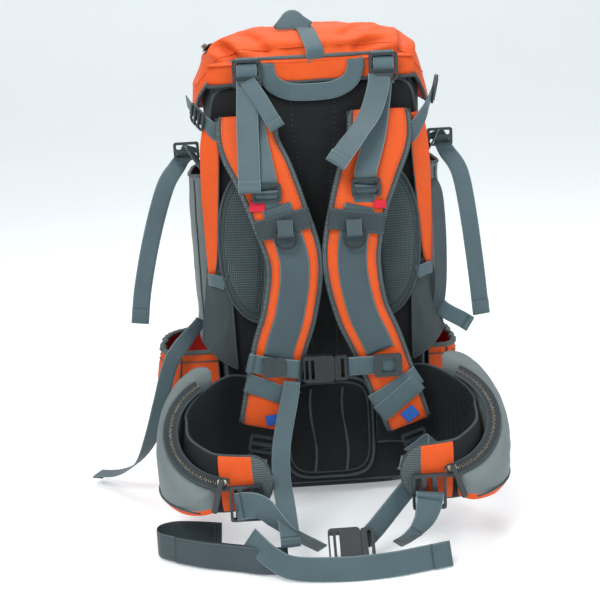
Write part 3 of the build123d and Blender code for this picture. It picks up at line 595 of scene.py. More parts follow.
def makeMainBag():
    low, high = nodeBox("main_bag")
    middle = (0, (low.y + high.y) / 2)
    top = high.z
    piece = startPiece()
    heights = [0.0, 0.6, 3, 8, 14, 20, 26] + [26 + (top - 26) * i / 56 for i in range(1, 57)]
    rows = [[Vector((p.x * s, p.y * s, 0.6))
             for p in roundRing(middle, bagHalf(0.01), mainBag["corner"], 0)]
            for s in (0.01, 0.35, 0.7, 0.9)]
    walls = [roundRing(middle, bagHalf(z, 0.8), mainBag["corner"], max(z, 0.5)) for z in heights]
    flat = crumple(walls, mainBag["fold"], mainBag["foldSize"], 3, (1, 1, 0.55))
    for i, z in enumerate(heights):   # the base edge and the rim stay true
        hold = smooth(z / 60) * smooth((top - z) / 40)
        walls[i] = [a.lerp(b, hold) for a, b in zip(walls[i], flat[i])]
    rows += walls
    inside = [roundRing(middle, bagHalf(z, mainBag["wall"] + 1), mainBag["corner"], z)
              for z in (top, 480, 300, 172, 60, 9)]
    rows += inside
    rows += [[Vector((p.x * s, p.y * s, 9)) for p in inside[-1]] for s in (0.6, 0.01)]
    addRows(piece, rows, 0, True)
    paintFaces(piece, 0, lambda c: 2
               if abs(c.x) < bagHalf(c.z, 2.9)[0] and abs(c.y) < bagHalf(c.z, 2.9)[1] and c.z > 6
               else 1 if c.z < mainBag["greyBelow"] else 0)
    for z in mainBag["seamHeights"]:
        addTube(piece, roundRing(middle, bagHalf(z, -0.4), mainBag["corner"], z), 1.5, 3, 6, True)
    for x, y in ((-1, -1), (1, -1), (1, 1), (-1, 1)):
        half = bagHalf(200, 0)
        fall = 0.5 ** (1 / mainBag["corner"])
        addTube(piece, [(x * half[0] * fall, y * half[1] * fall, z) for z in range(40, int(top) - 4, 12)],
                1.4, 3, 6)
    endPiece("mainBag", piece, [orange, darkCloth, slateCloth, piping], "pack",
             ["main_bag", "base_panel"])


snowCollar = {"gathers": 26, "deep": 3.0, "sag": 4.0, "cord": 2.6}


def makeSnowCollar():
    low, high = nodeBox("snow_collar")
    half = ((high.x - low.x) / 2 - 3, (high.y - low.y) / 2 - 3)
    piece = startPiece()
    rows = []
    levels = [low.z + (high.z - low.z) * i / 14 for i in range(15)]
    for inset, order in ((0, levels), (2.0, levels[::-1])):
        for z in order:
            share = (z - low.z) / (high.z - low.z)
            ring = []
            for k, p in enumerate(roundRing((0, 0), (half[0] - inset, half[1] - inset), 5, z, 208)):
                push = snowCollar["deep"] * (share ** 1.5) * math.sin(k / 208 * 2 * math.pi
                        * snowCollar["gathers"])
                push += 1.5 * wrinkle(p, 30, 9) * share
                pull = 1 - 0.03 * share
                ring.append(Vector((p.x * pull, p.y * pull, p.z)) + Vector((p.x, p.y, 0)).normalized()
                            * (push - 3 * share))
            rows.append(ring)
    addRows(piece, rows, 0, True)
    hem = [p for i, p in enumerate(rows[14]) if i % 2 == 0]
    addTube(piece, [p + Vector((0, 0, -5)) for p in hem], snowCollar["cord"], 1, 8, True)
    endPiece("snowCollar", piece, [slateCloth, piping], "pack", ["snow_collar"])
    shelf = startPiece()
    a, b = nodeBox("compartment_shelf")
    rows = [[Vector((lerp(a.x + 3, b.x - 3, i / 30), lerp(a.y + 3, b.y - 3, j / 20),
                     b.z - snowCollar["sag"] * math.sin(math.pi * i / 30) * math.sin(math.pi * j / 20)))
             for i in range(31)]
            for j in range(21)]
    rows = crumple(rows, 1.2, 50, 5)
    addRows(shelf, rows, 0)
    addTube(shelf, rows[10], 1.6, 1, 6)
    endPiece("compartmentShelf", shelf, [slateCloth, zipTape], "pack", ["compartment_shelf"])


makeMainBag()
makeSnowCollar()
print("bag and collar made")

# The lid is a soft cap: a flared skirt, cut away at the back, under a puffed crown.
lid = {
    "levels": ((540, 164, 125), (580, 156, 124), (618, 143, 122), (632, 129, 111), (640, 114, 98),
               (644, 99, 85)),
    "middle": 12.0, "corner": 4.2, "crown": 650.0, "rearCutLow": (-69.0, 541.0), "rearCutHigh": (-106.0,
            609.0),
    "fold": 3.4, "foldSize": 70, "hem": 2.6,
    "creases": (  # from, to, depth, width
        ((-128, -70, 640), (-96, -112, 612), 10, 7), ((-96, -60, 652), (-60, -110, 622), 6, 9),
        ((46, -100, 640), (78, -60, 654), 7, 8), ((120, -110, 610), (132, -40, 640), 9, 8),
        ((-70, -112, 622), (40, -114, 620), 5, 6), ((40, -114, 620), (112, -106, 628), 6, 6),
        ((60, -112, 618), (118, -96, 636), 4, 7), ((-30, -30, 656), (-70, 60, 654), 3, 9),
        ((20, 0, 658), (90, 50, 654), 4, 10), ((-150, -30, 600), (-120, -80, 560), 5, 9),
        ((-158, 20, 560), (-136, 30, 622), 4, 9), ((150, -20, 600), (160, 40, 556), 5, 9)),
}


def lidHalf(z):
    levels = lid["levels"]
    for (z0, x0, y0), (z1, x1, y1) in zip(levels, levels[1:]):
        if z <= z1:
            share = max(0.0, (z - z0) / (z1 - z0))
            return lerp(x0, x1, share), lerp(y0, y1, share)
    return levels[-1][1:]


def nearestOn(place, a, b):
    a, b = Vector(a), Vector(b)
    way = b - a
    share = max(0.0, min(1.0, (place - a).dot(way) / way.dot(way)))
    return (place - (a + way * share)).length


def lidPush(place):
    push = 0.0
    for a, b, deep, wide in lid["creases"]:
        d = nearestOn(place, a, b)
        push += -deep * hill(d, 0, wide) + 0.45 * deep * hill(d, wide * 2.1, wide)
    return push


def skirtBottom(y):
    (y0, z0), (y1, z1) = lid["rearCutLow"], lid["rearCutHigh"]
    return lerp(z0, z1, max(0.0, min(1.0, (y - y0) / (y1 - y0))))


lidSurface = {}


def onLid(place, lift):
    # the same place just outside the lid's cloth
    heart = Vector((place[0] * 0.6, -20, 590))
    way = (Vector(place) - heart).normalized()
    hit, normal, _, _ = lidSurface["tree"].ray_cast(heart + way * 220, -way)
    return hit + (normal if normal.dot(way) > 0 else -normal) * lift


def makeLid():
    count, top = 192, lid["levels"][-1][0]
    def ringAt(share, inset):
        ring = []
        for k in range(count):
            a = 2 * math.pi * k / count
            cx, cy = signedPower(math.cos(a), 2 / lid["corner"]), signedPower(math.sin(a),
                    2 / lid["corner"])
            bottom = skirtBottom(lid["middle"] + lidHalf(580)[1] * cy)
            z = lerp(bottom, top, share)
            half = lidHalf(z)
            ring.append(Vector(((half[0] - inset) * cx, lid["middle"] + (half[1] - inset) * cy, z)))
        return ring
    shares = [0, 0.03, 0.07] + [0.07 + 0.93 * (i / 34) for i in range(1, 35)]
    rows = [ringAt(s, 0.5) for s in shares]
    edge = rows[-1]
    for s in (0.96, 0.9, 0.82, 0.72, 0.6, 0.48, 0.36, 0.24, 0.12, 0.01):
        rise = (lid["crown"] - top) * math.sqrt(1 - s * s)
        rows.append([Vector((p.x * s, lid["middle"] + (p.y - lid["middle"]) * s, top + rise))
                     for p in edge])
    soft = crumple(rows, lid["fold"], lid["foldSize"], 21, (1, 1, 1.1))
    outer = []
    for i, row in enumerate(rows):
        new = []
        for j, p in enumerate(row):
            q = soft[i][j]
            out = (q - Vector((0, lid["middle"], 590))).normalized()
            new.append(q + out * lidPush(p))
        outer.append(new)
    inner = [[p.lerp(Vector((0, lid["middle"], 600)), 0.018) for p in row] for row in outer]
    piece = startPiece()
    hem = outer[0]
    addRows(piece, outer, 0, True)
    addRows(piece, inner, 1, True, flip=True)
    addRows(piece, [outer[0], inner[0]], 1, True, flip=True)
    addTube(piece, [p + (p - Vector((0, lid["middle"], p.z))).normalized() * 0.4 for i,
                    p in enumerate(hem) if i % 2 == 0],
            lid["hem"], 2, 8, True)
    seam = [p + (p - Vector((0, lid["middle"], 560))).normalized() * 0.2 for i,
            p in enumerate(outer[13]) if i % 2 == 0]
    addTube(piece, seam, 0.9, 0, 6, True)
    lidSurface["tree"] = BVHTree.FromPolygons(piece["verts"], piece["faces"])
    endPiece("lidShell", piece, [orange, redCloth, elastic], "lid", ["lid_shell"])
    lining = startPiece()
    low, high = nodeBox("lid_lining")
    rows = [[Vector((lerp(low.x, high.x, i / 40), lerp(low.y, high.y, j / 30),
                     low.z - 1 - 3 * math.sin(math.pi * i / 40) * math.sin(math.pi * j / 30)))
                     for i in range(41)]
            for j in range(31)]
    for row in rows:   # rounded like the lid above it
        for p in row:
            reach = (abs(p.x / high.x) ** 5 + abs((p.y - 15) / 116) ** 5) ** 0.2
            if reach > 0.97:
                p.x, p.y = p.x * 0.97 / reach, 15 + (p.y - 15) * 0.97 / reach
    addRows(lining, crumple(rows, 1.5, 45, 31), 0)
    endPiece("lidLining", lining, [slateCloth], "lid", ["lid_lining"])


makeLid()
print("lid made")


# The back: a stiffened dark panel with a bound edge and two long seams, under an orange band.
backPanel = {"crown": 1.6, "channelX": (-14, 14), "channelDeep": 2.2}


def addSlab(piece, low, high, power, heightAt, columns, rows):
    # a soft slab facing -Y between two corners, with height in front of its edge plane
    middle = (low + high) / 2
    half = (high - low) / 2
    front, back = [], []
    for i in range(rows + 1):
        v = math.sin((i / rows - 0.5) * math.pi)
        frontRow, backRow = [], []
        for j in range(columns + 1):
            u = math.sin((j / columns - 0.5) * math.pi)
            reach = max(abs(u), abs(v), 1e-6)
            norm = max(1.0, ((abs(u) / reach) ** power + (abs(v) / reach) ** power) ** (1 / power))
            su, sv = u / norm, v / norm
            x, z = middle.x + half.x * su, middle.z + half.z * sv
            rim = (1 - reach ** 6) ** (1 / 2.2) if reach < 1 else 0.0
            frontRow.append(Vector((x, middle.y - half.y * rim - heightAt(x, z) * rim, z)))
            backRow.append(Vector((x, middle.y + half.y * rim, z)))
        front.append(frontRow)
        back.append(backRow)
    uv = [[(p.x * millimetre, p.z * millimetre) for p in row] for row in front]
    addRows(piece, front, uvRows=uv)
    addRows(piece, back, uvRows=uv, flip=True)
    border = front[0] + [row[-1] for row in front[1:]] + front[-1][-2::-1] + [row[0]
            for row in front[-2:0:-1]]
    return border


def makeBackPanel():
    low, high = nodeBox("back_panel")

    def height(x, z):
        push = backPanel["crown"] * wrinkle((x, 0, z), 60, 41) * 0.6
        for seam in backPanel["channelX"]:
            push -= backPanel["channelDeep"] * hill(x, seam * (1 + 0.8 * smooth((z - 420) / 120)), 2.2)
        return push
    piece = startPiece()
    border = addSlab(piece, low, high, 14, height, 56, 110)
    addTube(piece, border, 1.9, 1, 6, True)
    for seam in backPanel["channelX"]:
        line = [(seam * (1 + 0.8 * smooth((z - 420) / 120)) + 3 * (1 if seam > 0 else -1), low.y - 0.3, z)
                for z in range(200, 560, 8)]
        addStitches(piece, line, 1, 4, 3, 0.35)
    endPiece("backPanel", piece, [darkCloth, piping], "pack", ["back_panel"])
    low, high = nodeBox("top_band")
    band = startPiece()
    border = addSlab(band, low, high, 8, lambda x, z: 1.2 * wrinkle((x, 0, z), 28, 44) + 1.0, 60, 14)
    addTube(band, [(x, low.y - 0.5, low.z + 1 + 0.4 * math.sin(x / 9))
                   for x in range(int(low.x), int(high.x) + 1, 4)],
            2.2, 1, 8)
    addTube(band, [(x, low.y - 0.3, high.z - 4 + 0.5 * math.sin(x / 13))
                   for x in range(int(low.x), int(high.x) + 1, 4)],
            1.4, 0, 6)
    endPiece("topBand", band, [orange, piping], "pack", ["top_band"])


pads = {"seamDeep": 2.6, "pipes": (1.0, 0.9), "pipeRadius": (2.2, 1.3), "power": 2.25}


def addOval(piece, node, power, rings=30, count=112, seam=None):
    low, high = nodeBox(node)
    cx, cz = (low.x + high.x) / 2, (low.z + high.z) / 2
    rx, rz = (high.x - low.x) / 2, (high.z - low.z) / 2
    back, thick = high.y, high.y - low.y

    def place(reach, a):
        x = cx + rx * reach * signedPower(math.cos(a), 2 / power)
        z = cz + rz * reach * signedPower(math.sin(a), 2 / power)
        rise = thick * (0.35 + 0.65 * (1 - reach ** 2.6)) if reach < 1 else thick * 0.3
        if seam:
            rise -= pads["seamDeep"] * hill(x - cx, seam(z - cz), 4.0) * (1 - reach ** 8)
        if reach < 0.97:
            rise -= 1.8 * hill(reach, pads["pipes"][1], 0.03)
        return Vector((x, back - rise + 0.5 * wrinkle((x, 0, z), 26, 51), z))
    rows = []
    for i in range(rings + 1):
        reach = 0.01 + 0.99 * (i / rings) ** 0.8
        rows.append([place(reach, 2 * math.pi * k / count) for k in range(count)])
    rows.append([p + Vector((0, back - p.y, 0)) for p in rows[-1]])
    rows.append([Vector((lerp(cx, p.x, 0.02), back, lerp(cz, p.z, 0.02))) for p in rows[-1]])
    addRows(piece, rows, 0, True, flip=True)
    for reach, radius in zip(pads["pipes"], pads["pipeRadius"]):
        ring = [place(min(reach, 0.999), 2 * math.pi * k / 80) for k in range(80)]
        addTube(piece, [p + Vector((0, -0.4, 0)) for p in ring], radius, 1, 8, True)
    if seam:
        line = []
        for i in range(40):
            z = cz + rz * 0.86 * (i / 39 * 2 - 1)
            x = cx + seam(z - cz)
            reach = (abs((x - cx) / rx) ** power + abs((z - cz) / rz) ** power) ** (1 / power)
            a = math.atan2(signedPower((z - cz) / rz / max(reach, 0.01), power / 2),
                           signedPower((x - cx) / rx / max(reach, 0.01), power / 2))
            line.append(place(reach, a) + Vector((0, -0.6, 0)))
        addTube(piece, line, 1.0, 1, 6)


def makePads():
    for side, name in ((-1, "left"), (1, "right")):
        piece = startPiece()
        addOval(piece, name + "_back_pad", pads["power"], seam=lambda z,
                s=side: s * (2 + 14 * (z / 106) ** 2))
        endPiece(name + "BackPad", piece, [padMesh, piping], "pack", [name + "_back_pad"])
    piece = startPiece()
    addOval(piece, "lumbar_pad", 4.5, count=120)
    low, high = nodeBox("lumbar_pad")
    for x in (-22, 22):
        line = [(x + 3 * math.sin(i / 5), low.y + 1.2, lerp(low.z + 12, high.z - 12, i / 30))
                for i in range(31)]
        addTube(piece, line, 2.0, 1, 6, flat=0.5, up=(0, 1, 0))
    endPiece("lumbarPad", piece, [lumbarMesh, piping], "pack", ["lumbar_pad"])


makeBackPanel()
makePads()
print("back panel and pads made")

# Shoulder straps: foam between an orange face and mesh edges, widest at the shoulder.
shoulder = {
    "left": {"stations": ((-86, -125, 538), (-85, -138, 505), (-68, -155, 465), (-53, -166, 420),
                          (-36, -172, 356),
                          (-45, -174, 290), (-63, -177, 236), (-87, -184, 137)),
             "widths": (78, 78, 76, 74, 72, 70, 70, 68)},
    "right": {"stations": ((84, -125, 538), (82, -138, 505), (66, -155, 465), (50, -166, 420),
                           (38, -172, 356),
                           (47, -174, 290), (68, -177, 236), (104, -184, 130)),
              "widths": (80, 82, 78, 74, 74, 70, 68, 60)},
    "foam": 14.0, "crown": 0.8, "meshShare": 0.065, "overWidth": 38, "overThick": 2.0,
}


def shoulderLine(side):
    values = shoulder[side]
    return strapLine(values["stations"], (1, 0, 0), list(values["widths"]), 4.0)


def makeShoulderStraps():
    for side in ("left", "right"):
        line = shoulderLine(side)
        piece = startPiece()
        columns = 20
        # columns near the two edges and the whole underside are mesh
        slots = []
        for j in range(2 * columns + 2):
            edge = 0.5 * math.sin(math.pi * (j / columns - 0.5)) if j < columns else 1.0
            nextEdge = 0.5 * math.sin(math.pi * ((j + 1) / columns - 0.5)) if j < columns else 1.0
            slots.append(0 if j < columns and abs(edge + nextEdge) / 2 < 0.5 - shoulder["meshShare"] else 1)
        rows, uvRows = [], []
        whole = line[-1][4]
        for centre, across, face, width, length in line:
            row, uvRow = [], []
            tip = min(1.0, (length + 4) / 14, (whole - length + 5) / 16)
            for under in (False, True):
                for j in range(columns + 1):
                    u = j / columns - 0.5
                    edge = 0.5 * math.sin(math.pi * (-u if under else u))
                    rise = shoulder["foam"] / 2 * (1 - abs(2 * edge) ** 2.8) ** (1 / 2.4) * (0.5 + 0.5
                            * tip)
                    dent = 1.2 * hill(abs(edge), 0.5 - shoulder["meshShare"], 0.02)
                    crease = 1.3 * wrinkle(centre + across * edge * width, 38, 61) * (0.3 + abs(edge))
                    crown = shoulder["crown"] * (1 - 4 * edge * edge)
                    high = -rise if under else rise + crown - dent + crease
                    row.append(centre + across * (edge * width * (0.9 + 0.1 * tip)) + face * high)
                    uvRow.append((edge + 0.5, length * millimetre))
            rows.append(row)
            uvRows.append(uvRow)
        wide = len(rows[0])
        base = addRows(piece, rows, 0, True, uvRows, slots)
        closeRow(piece, base, wide, 0, True)
        closeRow(piece, base + (len(rows) - 1) * wide, wide, 0)
        for share in (-1, 1):
            seam = share * (0.5 - shoulder["meshShare"])
            lift = shoulder["foam"] / 2 * (1 - abs(2 * seam) ** 2.8) ** (1 / 2.4) + 0.4
            addTube(piece, alongLine(line, seam, lift), 1.1, 2, 6)
            addTube(piece, alongLine(line, share * 0.497, -1), 1.3, 2, 6)
            addStitches(piece, alongLine(line, share * (0.5 - shoulder["meshShare"] - 0.045), lift + 1.0),
                        3, 3.2, 2.2, 0.3)
        endPiece(side + "ShoulderStrap", piece, [orangeDeep, edgeMesh, piping, sewing], "pack",
                 [side + "_shoulder_strap"])


def overStrap(side, heights, lift):
    # the strap's line between two heights, moved off its face
    line = shoulderLine(side)
    top = shoulder["foam"] / 2 + shoulder["crown"] + lift - 0.5
    return [(c + f * top, s, f, w, length) for c, s, f, w, length in line
            if heights[0] >= c.z >= heights[1]]


def crossStrap(side, height, width, long, tilt, lift):
    # a short strap lying across the shoulder strap at a height
    line = shoulderLine(side)
    centre, across, face, strapWidth, _ = min(line, key=lambda place: abs(place[0].z - height))
    along = face.cross(across)
    turned = (across * math.cos(math.radians(tilt)) + along * math.sin(math.radians(tilt)))
    top = shoulder["foam"] / 2 + shoulder["crown"] + lift
    count = max(6, int(long / 3))
    places = []
    for i in range(count + 1):
        t = (i / count - 0.5) * long
        reach = abs(t) / (strapWidth / 2)
        fall = 0 if reach < 0.75 else (reach - 0.75) ** 1.6 * 16
        places.append((centre + turned * t + face * (top - fall), t + long / 2))
    line = []
    for i, (place, length) in enumerate(places):
        tangent = (places[min(i + 1, count)][0] - places[max(i - 1, 0)][0]).normalized()
        out = (face - tangent * face.dot(tangent)).normalized()
        line.append((place, out.cross(tangent), out, width, length))
    return line


harness = {
    "webbing": {"left": (428, 230), "right": (424, 232)},
    "crossPatches": (("left", 403, 27, 70, -6), ("right", 402, 27, 72, 5)),
    "tabs": (("left", 428, 12, 20, -20, -24), ("right", 424, 10, 16, 12, 26)),
    "keepers": (("left", 187, 25, 70, -10), ("right", 180, 25, 72, 12), ("right", 168, 25, 68, 20)),
    "blueTabs": (("left", 148, 14, 17, 20, 8), ("right", 146, 17, 20, 18, 6)),
}


def makeHarnessWebbing():
    piece = startPiece()
    for side, heights in harness["webbing"].items():
        line = overStrap(side, heights, 1.2)
        line = [(c, s, f, shoulder["overWidth"], length) for c, s, f, w, length in line]
        addRibbon(piece, line, shoulder["overThick"], 0, ripple=0.5, seed=70)
        sewEdges(piece, line, 0.44, shoulder["overThick"] / 2)
    for i, (side, height, width, long, tilt) in enumerate(harness["crossPatches"]):
        line = crossStrap(side, height, width, long, tilt, 3.2)
        addRibbon(piece, line, 2.0, 2, ripple=0.4, seed=71 + i)
        sewEdges(piece, line, 0.4, 1.0)
        # the short loop that holds the ring
        low, high = nodeBox(side + "_d_ring")
        x = (low.x + high.x) / 2
        loop = strapLine([(x, low.y + 3.6, high.z + 16), (x, low.y + 0.6, high.z + 2),
                          (x, low.y - 0.6, high.z - 2),
                          (x, low.y + 1.4, high.z - 5.5), (x, low.y + 5.2, high.z - 2),
                          (x, low.y + 6, high.z + 12)],
                         (1, 0, 0), 19, 2)
        addRibbon(piece, loop, 1.5, 0)
    endPiece("shoulderWebbing", piece, [shoulderBand, sewing, patchBand], "pack",
             ["shoulder_webbing"])
    piece = startPiece()
    for i, (side, height, width, long, tilt) in enumerate(harness["keepers"]):
        line = crossStrap(side, height, width, long, tilt, 2.2 + 1.6 * (i == 2))
        addRibbon(piece, line, 1.8, 0, ripple=0.5, seed=80 + i)
        sewEdges(piece, line, 0.43, 0.9)
    endPiece("strapKeepers", piece, [webbing, sewing], "pack", ["strap_keepers"])
    for kind, material, name in (("tabs", crimson, "crimsonTabs"), ("blueTabs", blueCloth, "blueTabs")):
        piece = startPiece()
        for side, height, width, long, tilt, sideways in harness[kind]:
            line = crossStrap(side, height, width, long, tilt, 1.2)
            across = shoulderLine(side)[0][1]
            line = [(c + across * sideways, s, f, w, length) for c, s, f, w, length in line]
            addRibbon(piece, line, 1.0, 0)
        endPiece(name, piece, [material], "pack")


makeShoulderStraps()
makeHarnessWebbing()
print("shoulder straps made")


def addStrap(piece, stations, width, across=(1, 0, 0), thick=1.8, slot=0, hemEnd=0, hemStart=0, ripple=0.5,
             seed=0,
             sideSign=1):
    # a loose or sewn strap, with a folded and stitched hem where it ends free
    line = strapLine(stations, across, width, 4.0)
    addRibbon(piece, line, thick, slot, ripple=ripple, seed=seed)
    if hemEnd:
        addHem(piece, line, thick, slot, hemEnd, True, sideSign)
    if hemStart:
        addHem(piece, line, thick, slot, hemStart, False, sideSign)
    return line


# The load lifters run down from the locks on the band, and their loose ends hang in front.
lifters = {
    "width": 28,
    "held": {"left": ((-82, -120.4, 578), (-80, -122.5, 566), (-74, -150, 510), (-67, -170.6, 468),
                      (-66, -173, 458),
                      (-66, -170.5, 447)),
             "right": ((86, -120.4, 578), (88, -122.5, 566), (76, -150, 510), (61, -170.6, 468),
                       (60, -173, 458),
                       (60, -170.5, 447))},
    "sewn": {"left": ((-66, -176.4, 449), (-65, -172.5, 436), (-60, -172, 418)),
             "right": ((60, -176.4, 449), (58, -172.5, 436), (55, -172, 418))},
    "tail": {"left": ((-82, -127.6, 583), (-83, -134, 566), (-85, -150, 530), (-86, -167, 488),
                      (-87, -183, 448)),
             "right": ((86, -127.6, 583), (83, -136, 566), (70, -156, 536), (50, -174, 512),
                       (34, -182, 494),
                       (21, -187, 478))},
    "short": ((-82, -128.6, 584), (-68, -140, 562), (-56, -150, 540), (-47, -155, 524)),
    "lower": {  # by noise seed
              12: ((-100, -188.5, 93), (-100, -160, 62), (-100, -141, 48), (-100, -124.5, 41)),
              204: ((104, -188.5, 86), (104, -160, 58), (104, -141, 46), (104, -124.5, 41))},
    "tailAcross": {"left": (1, 0, 0), "right": (0.8, 0.1, 0.6)},
}


def makeLifters():
    piece = startPiece()
    width = lifters["width"]
    for i, side in enumerate(("left", "right")):
        addStrap(piece, lifters["held"][side], width, seed=90 + i)
        addStrap(piece, lifters["sewn"][side], width, seed=92 + i)
        acrossEnd = lifters["tailAcross"][side]
        count = len(lifters["tail"][side])
        turning = [tuple(lerp(Vector((1, 0, 0)), Vector(acrossEnd), smooth(k / (count - 1))))
                   for k in range(count)]
        addStrap(piece, lifters["tail"][side], width, turning, hemEnd=18, ripple=1.2, seed=94 + i)
    turning = [(1, 0, 0), (0.9, 0.1, 0.5), (0.75, 0.2, 0.7), (0.75, 0.2, 0.7)]
    addStrap(piece, lifters["short"], 20, turning, hemEnd=14, seed=98)
    endPiece("lifterWebbing", piece, [webbing, sewing], "pack", ["lifter_webbing"])
    piece = startPiece()
    for seed, points in lifters["lower"].items():
        addStrap(piece, points, 25, seed=seed)
    endPiece("lowerWebbing", piece, [webbing, sewing], "pack", ["lower_webbing"])


# A round-bottomed loop of webbing to lift the pack by; its ends are sewn on at the top edge.
haulLoop = {"width": 22, "half": 57, "top": 604, "front": -119.0, "thick": 2.2}


def makeHaulLoop():
    low, high = nodeBox("haul_loop")
    half, bottom, front = haulLoop["half"], low.z + haulLoop["width"] / 2 + 1, haulLoop["front"]
    rising = [(half - 28, front - 0.6, bottom + 1), (half - 8, front - 0.3, bottom + 11),
              (half, front, bottom + 27),
              (half, front, haulLoop["top"])]
    points = [(-x, y, z) for x, y, z in rising[::-1]] + [(0, front - 0.8, bottom - 1)] + rising
    turning = [(-0.2, 0, 1), (-0.75, 0, 0.65), (-1, 0, 0), (-1, 0, 0)]
    across = [(-x, y, z) for x, y, z in turning[::-1]] + [(0, 0, 1)] + turning
    line = strapLine(points, across, haulLoop["width"], 3)
    piece = startPiece()
    addRibbon(piece, line, haulLoop["thick"], 0, ripple=0.3, seed=110, columns=10)
    sewEdges(piece, line, 0.4, -haulLoop["thick"] / 2)
    endPiece("haulLoop", piece, [webbing, sewing], "haul_loop", ["haul_loop"])


makeLifters()
makeHaulLoop()
print("lifters and haul loop made")

# Sternum strap. The tail drops loose from the left slide.
sternum = {"z": 216.0, "y": -191.5, "width": 25}


def makeSternum():
    z, y, width = sternum["z"], sternum["y"], sternum["width"]
    up = (0, 0, 1)
    piece = startPiece()
    addStrap(piece, ((-104, y, z + 14), (-86, y, z + 9), (-70, y, z + 6), (-50, y, z + 2), (-37, y, z)),
             width, up, seed=120,
             hemStart=10)
    tail = ((-48, y - 4.2, z - 14), (-50, y - 6.5, z - 26), (-54, y - 11, z - 42), (-66, -222, 128),
            (-69, -262, 100),
            (-66, -303, 84), (-63, -326, 58), (-62, -333, 38))
    turned = ((1, 0, 0.2), (1, 0, 0.1), (1, 0, 0), (1, 0.1, -0.1), (1, 0.1, -0.1), (1, 0.1, 0), (1, 0.1, 0),
              (1, 0.1, 0))
    addStrap(piece, tail, (21, 22, 23, 24, 24, 24, 24, 24), turned, hemEnd=14, ripple=1.0, seed=121)
    endPiece("sternumWebbingLeft", piece, [webbing, sewing], "sternum_left",
             ["sternum_webbing_left"])
    piece = startPiece()
    low, high = nodeBox("sternum_webbing_right")
    addStrap(piece, ((low.x, y, z), (low.x + 30, y, z), (high.x, y, z)), width, up, seed=122, hemEnd=12,
             sideSign=-1)
    endPiece("sternumWebbingRight", piece, [webbing, sewing], "sternum_tongue",
             ["sternum_webbing_right"])


makeSternum()
print("sternum strap made")

# Hip belt: each wing is one padded band from the lumbar pad round to its rounded tip.
belt = {
    "foam": 12.5,
    "path": ((66, -124, 134, 104), (92, -124.5, 134, 104), (112, -126, 134, 112), (132, -140, 133, 126),
             (158, -165, 128, 120), (181, -192, 114, 100), (186.5, -222, 108, 92), (178, -254, 107,
                     88), (155, -275, 103, 78),
             (125, -283.5, 104, 72), (98, -284, 105, 66), (80, -284, 106, 58)),
    "tipRound": 22, "patchFrom": 66,
}


def beltLine(sign):
    path = [(sign * x, y, z) for x, y, z, _ in belt["path"]]
    return strapLine(path, (0, 0, 1), [w for *_, w in belt["path"]], 4)


def beltWidth(width, left):
    # the band narrows to a round end over the last of its length
    tip = max(0.0, (belt["tipRound"] - left) / belt["tipRound"])
    return width * math.sqrt(max(0.03, 1 - tip ** 2.2)) if tip else width


def makeBelt():
    for side, sign in (("left", -1), ("right", 1)):
        line = beltLine(sign)
        whole = line[-1][4]
        piece = startPiece()
        columns = 18
        rows, uvRows = [], []
        for centre, across, face, width, length in line:
            broad = beltWidth(width, whole - length)
            row, uvRow = [], []
            for under in (False, True):
                for j in range(columns + 1):
                    u = j / columns - 0.5
                    edge = 0.5 * math.sin(math.pi * (-u if under else u))
                    rise = belt["foam"] / 2 * (1 - abs(2 * edge) ** 3.2) ** (1 / 2.6)
                    crease = 0.8 * wrinkle(centre + across * edge * broad, 34, 131)
                    row.append(centre + across * edge * broad + face
                               * ((-rise if under else rise) + crease))
                    uvRow.append((edge + 0.5, length * millimetre))
            rows.append(row)
            uvRows.append(uvRow)
        wide = len(rows[0])
        # dark padding faces the wearer; the outer face is orange with a grey mesh tip
        base = addRows(piece, rows, 0, True, uvRows)
        for i in range(len(piece["faces"])):
            length, j = line[i // wide][4], i % wide
            left = whole - length
            outside = 4 if left > belt["patchFrom"] else 3 if left > belt["tipRound"] * 1.1 else 1
            piece["slots"][i] = 0 if (j < columns) == (sign > 0) else outside
        closeRow(piece, base, wide, 1, True)
        closeRow(piece, base + (len(rows) - 1) * wide, wide, 1)
        for share in (-0.5, 0.5):
            edgeLine = [c + s * share * beltWidth(width, whole - length) for c, s, f, width, length in line]
            addTube(piece, edgeLine, 1.8, 2, 8)
        nodes = [side + "_wing_pad"] + (["belt_root_pads"] if sign < 0 else [])
        obj = endPiece(side + "BeltWing", piece, [lumbarMesh, edgeMesh, piping, orange, darkCloth], None,
                       nodes)
        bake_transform(obj)


# Hip pockets: grey pouches that bulge outward, with a slanting zip over the top.
hipPocket = {
    "middle": (125, -228, 155), "tilt": 36.7, "inner": 72.0, "outer": 103.0, "floor": 67.0,
    "from": -70, "to": 66,
    "zipRadius": 82.0, "zipFrom": -84, "zipTo": 56, "zipWidth": 16.0, "toothPitch": 3.0,
}


def onZipPlane(sign, angle, radius, lift=0.0):
    tilt, a = math.radians(hipPocket["tilt"]), math.radians(angle)
    out = Vector((sign * math.cos(a), math.sin(a) * math.cos(tilt), math.sin(a) * math.sin(tilt)))
    normal = Vector((0, -math.sin(tilt), math.cos(tilt)))
    middle = Vector(hipPocket["middle"])
    return Vector((middle.x * sign, middle.y, middle.z)) + out * radius + normal * lift


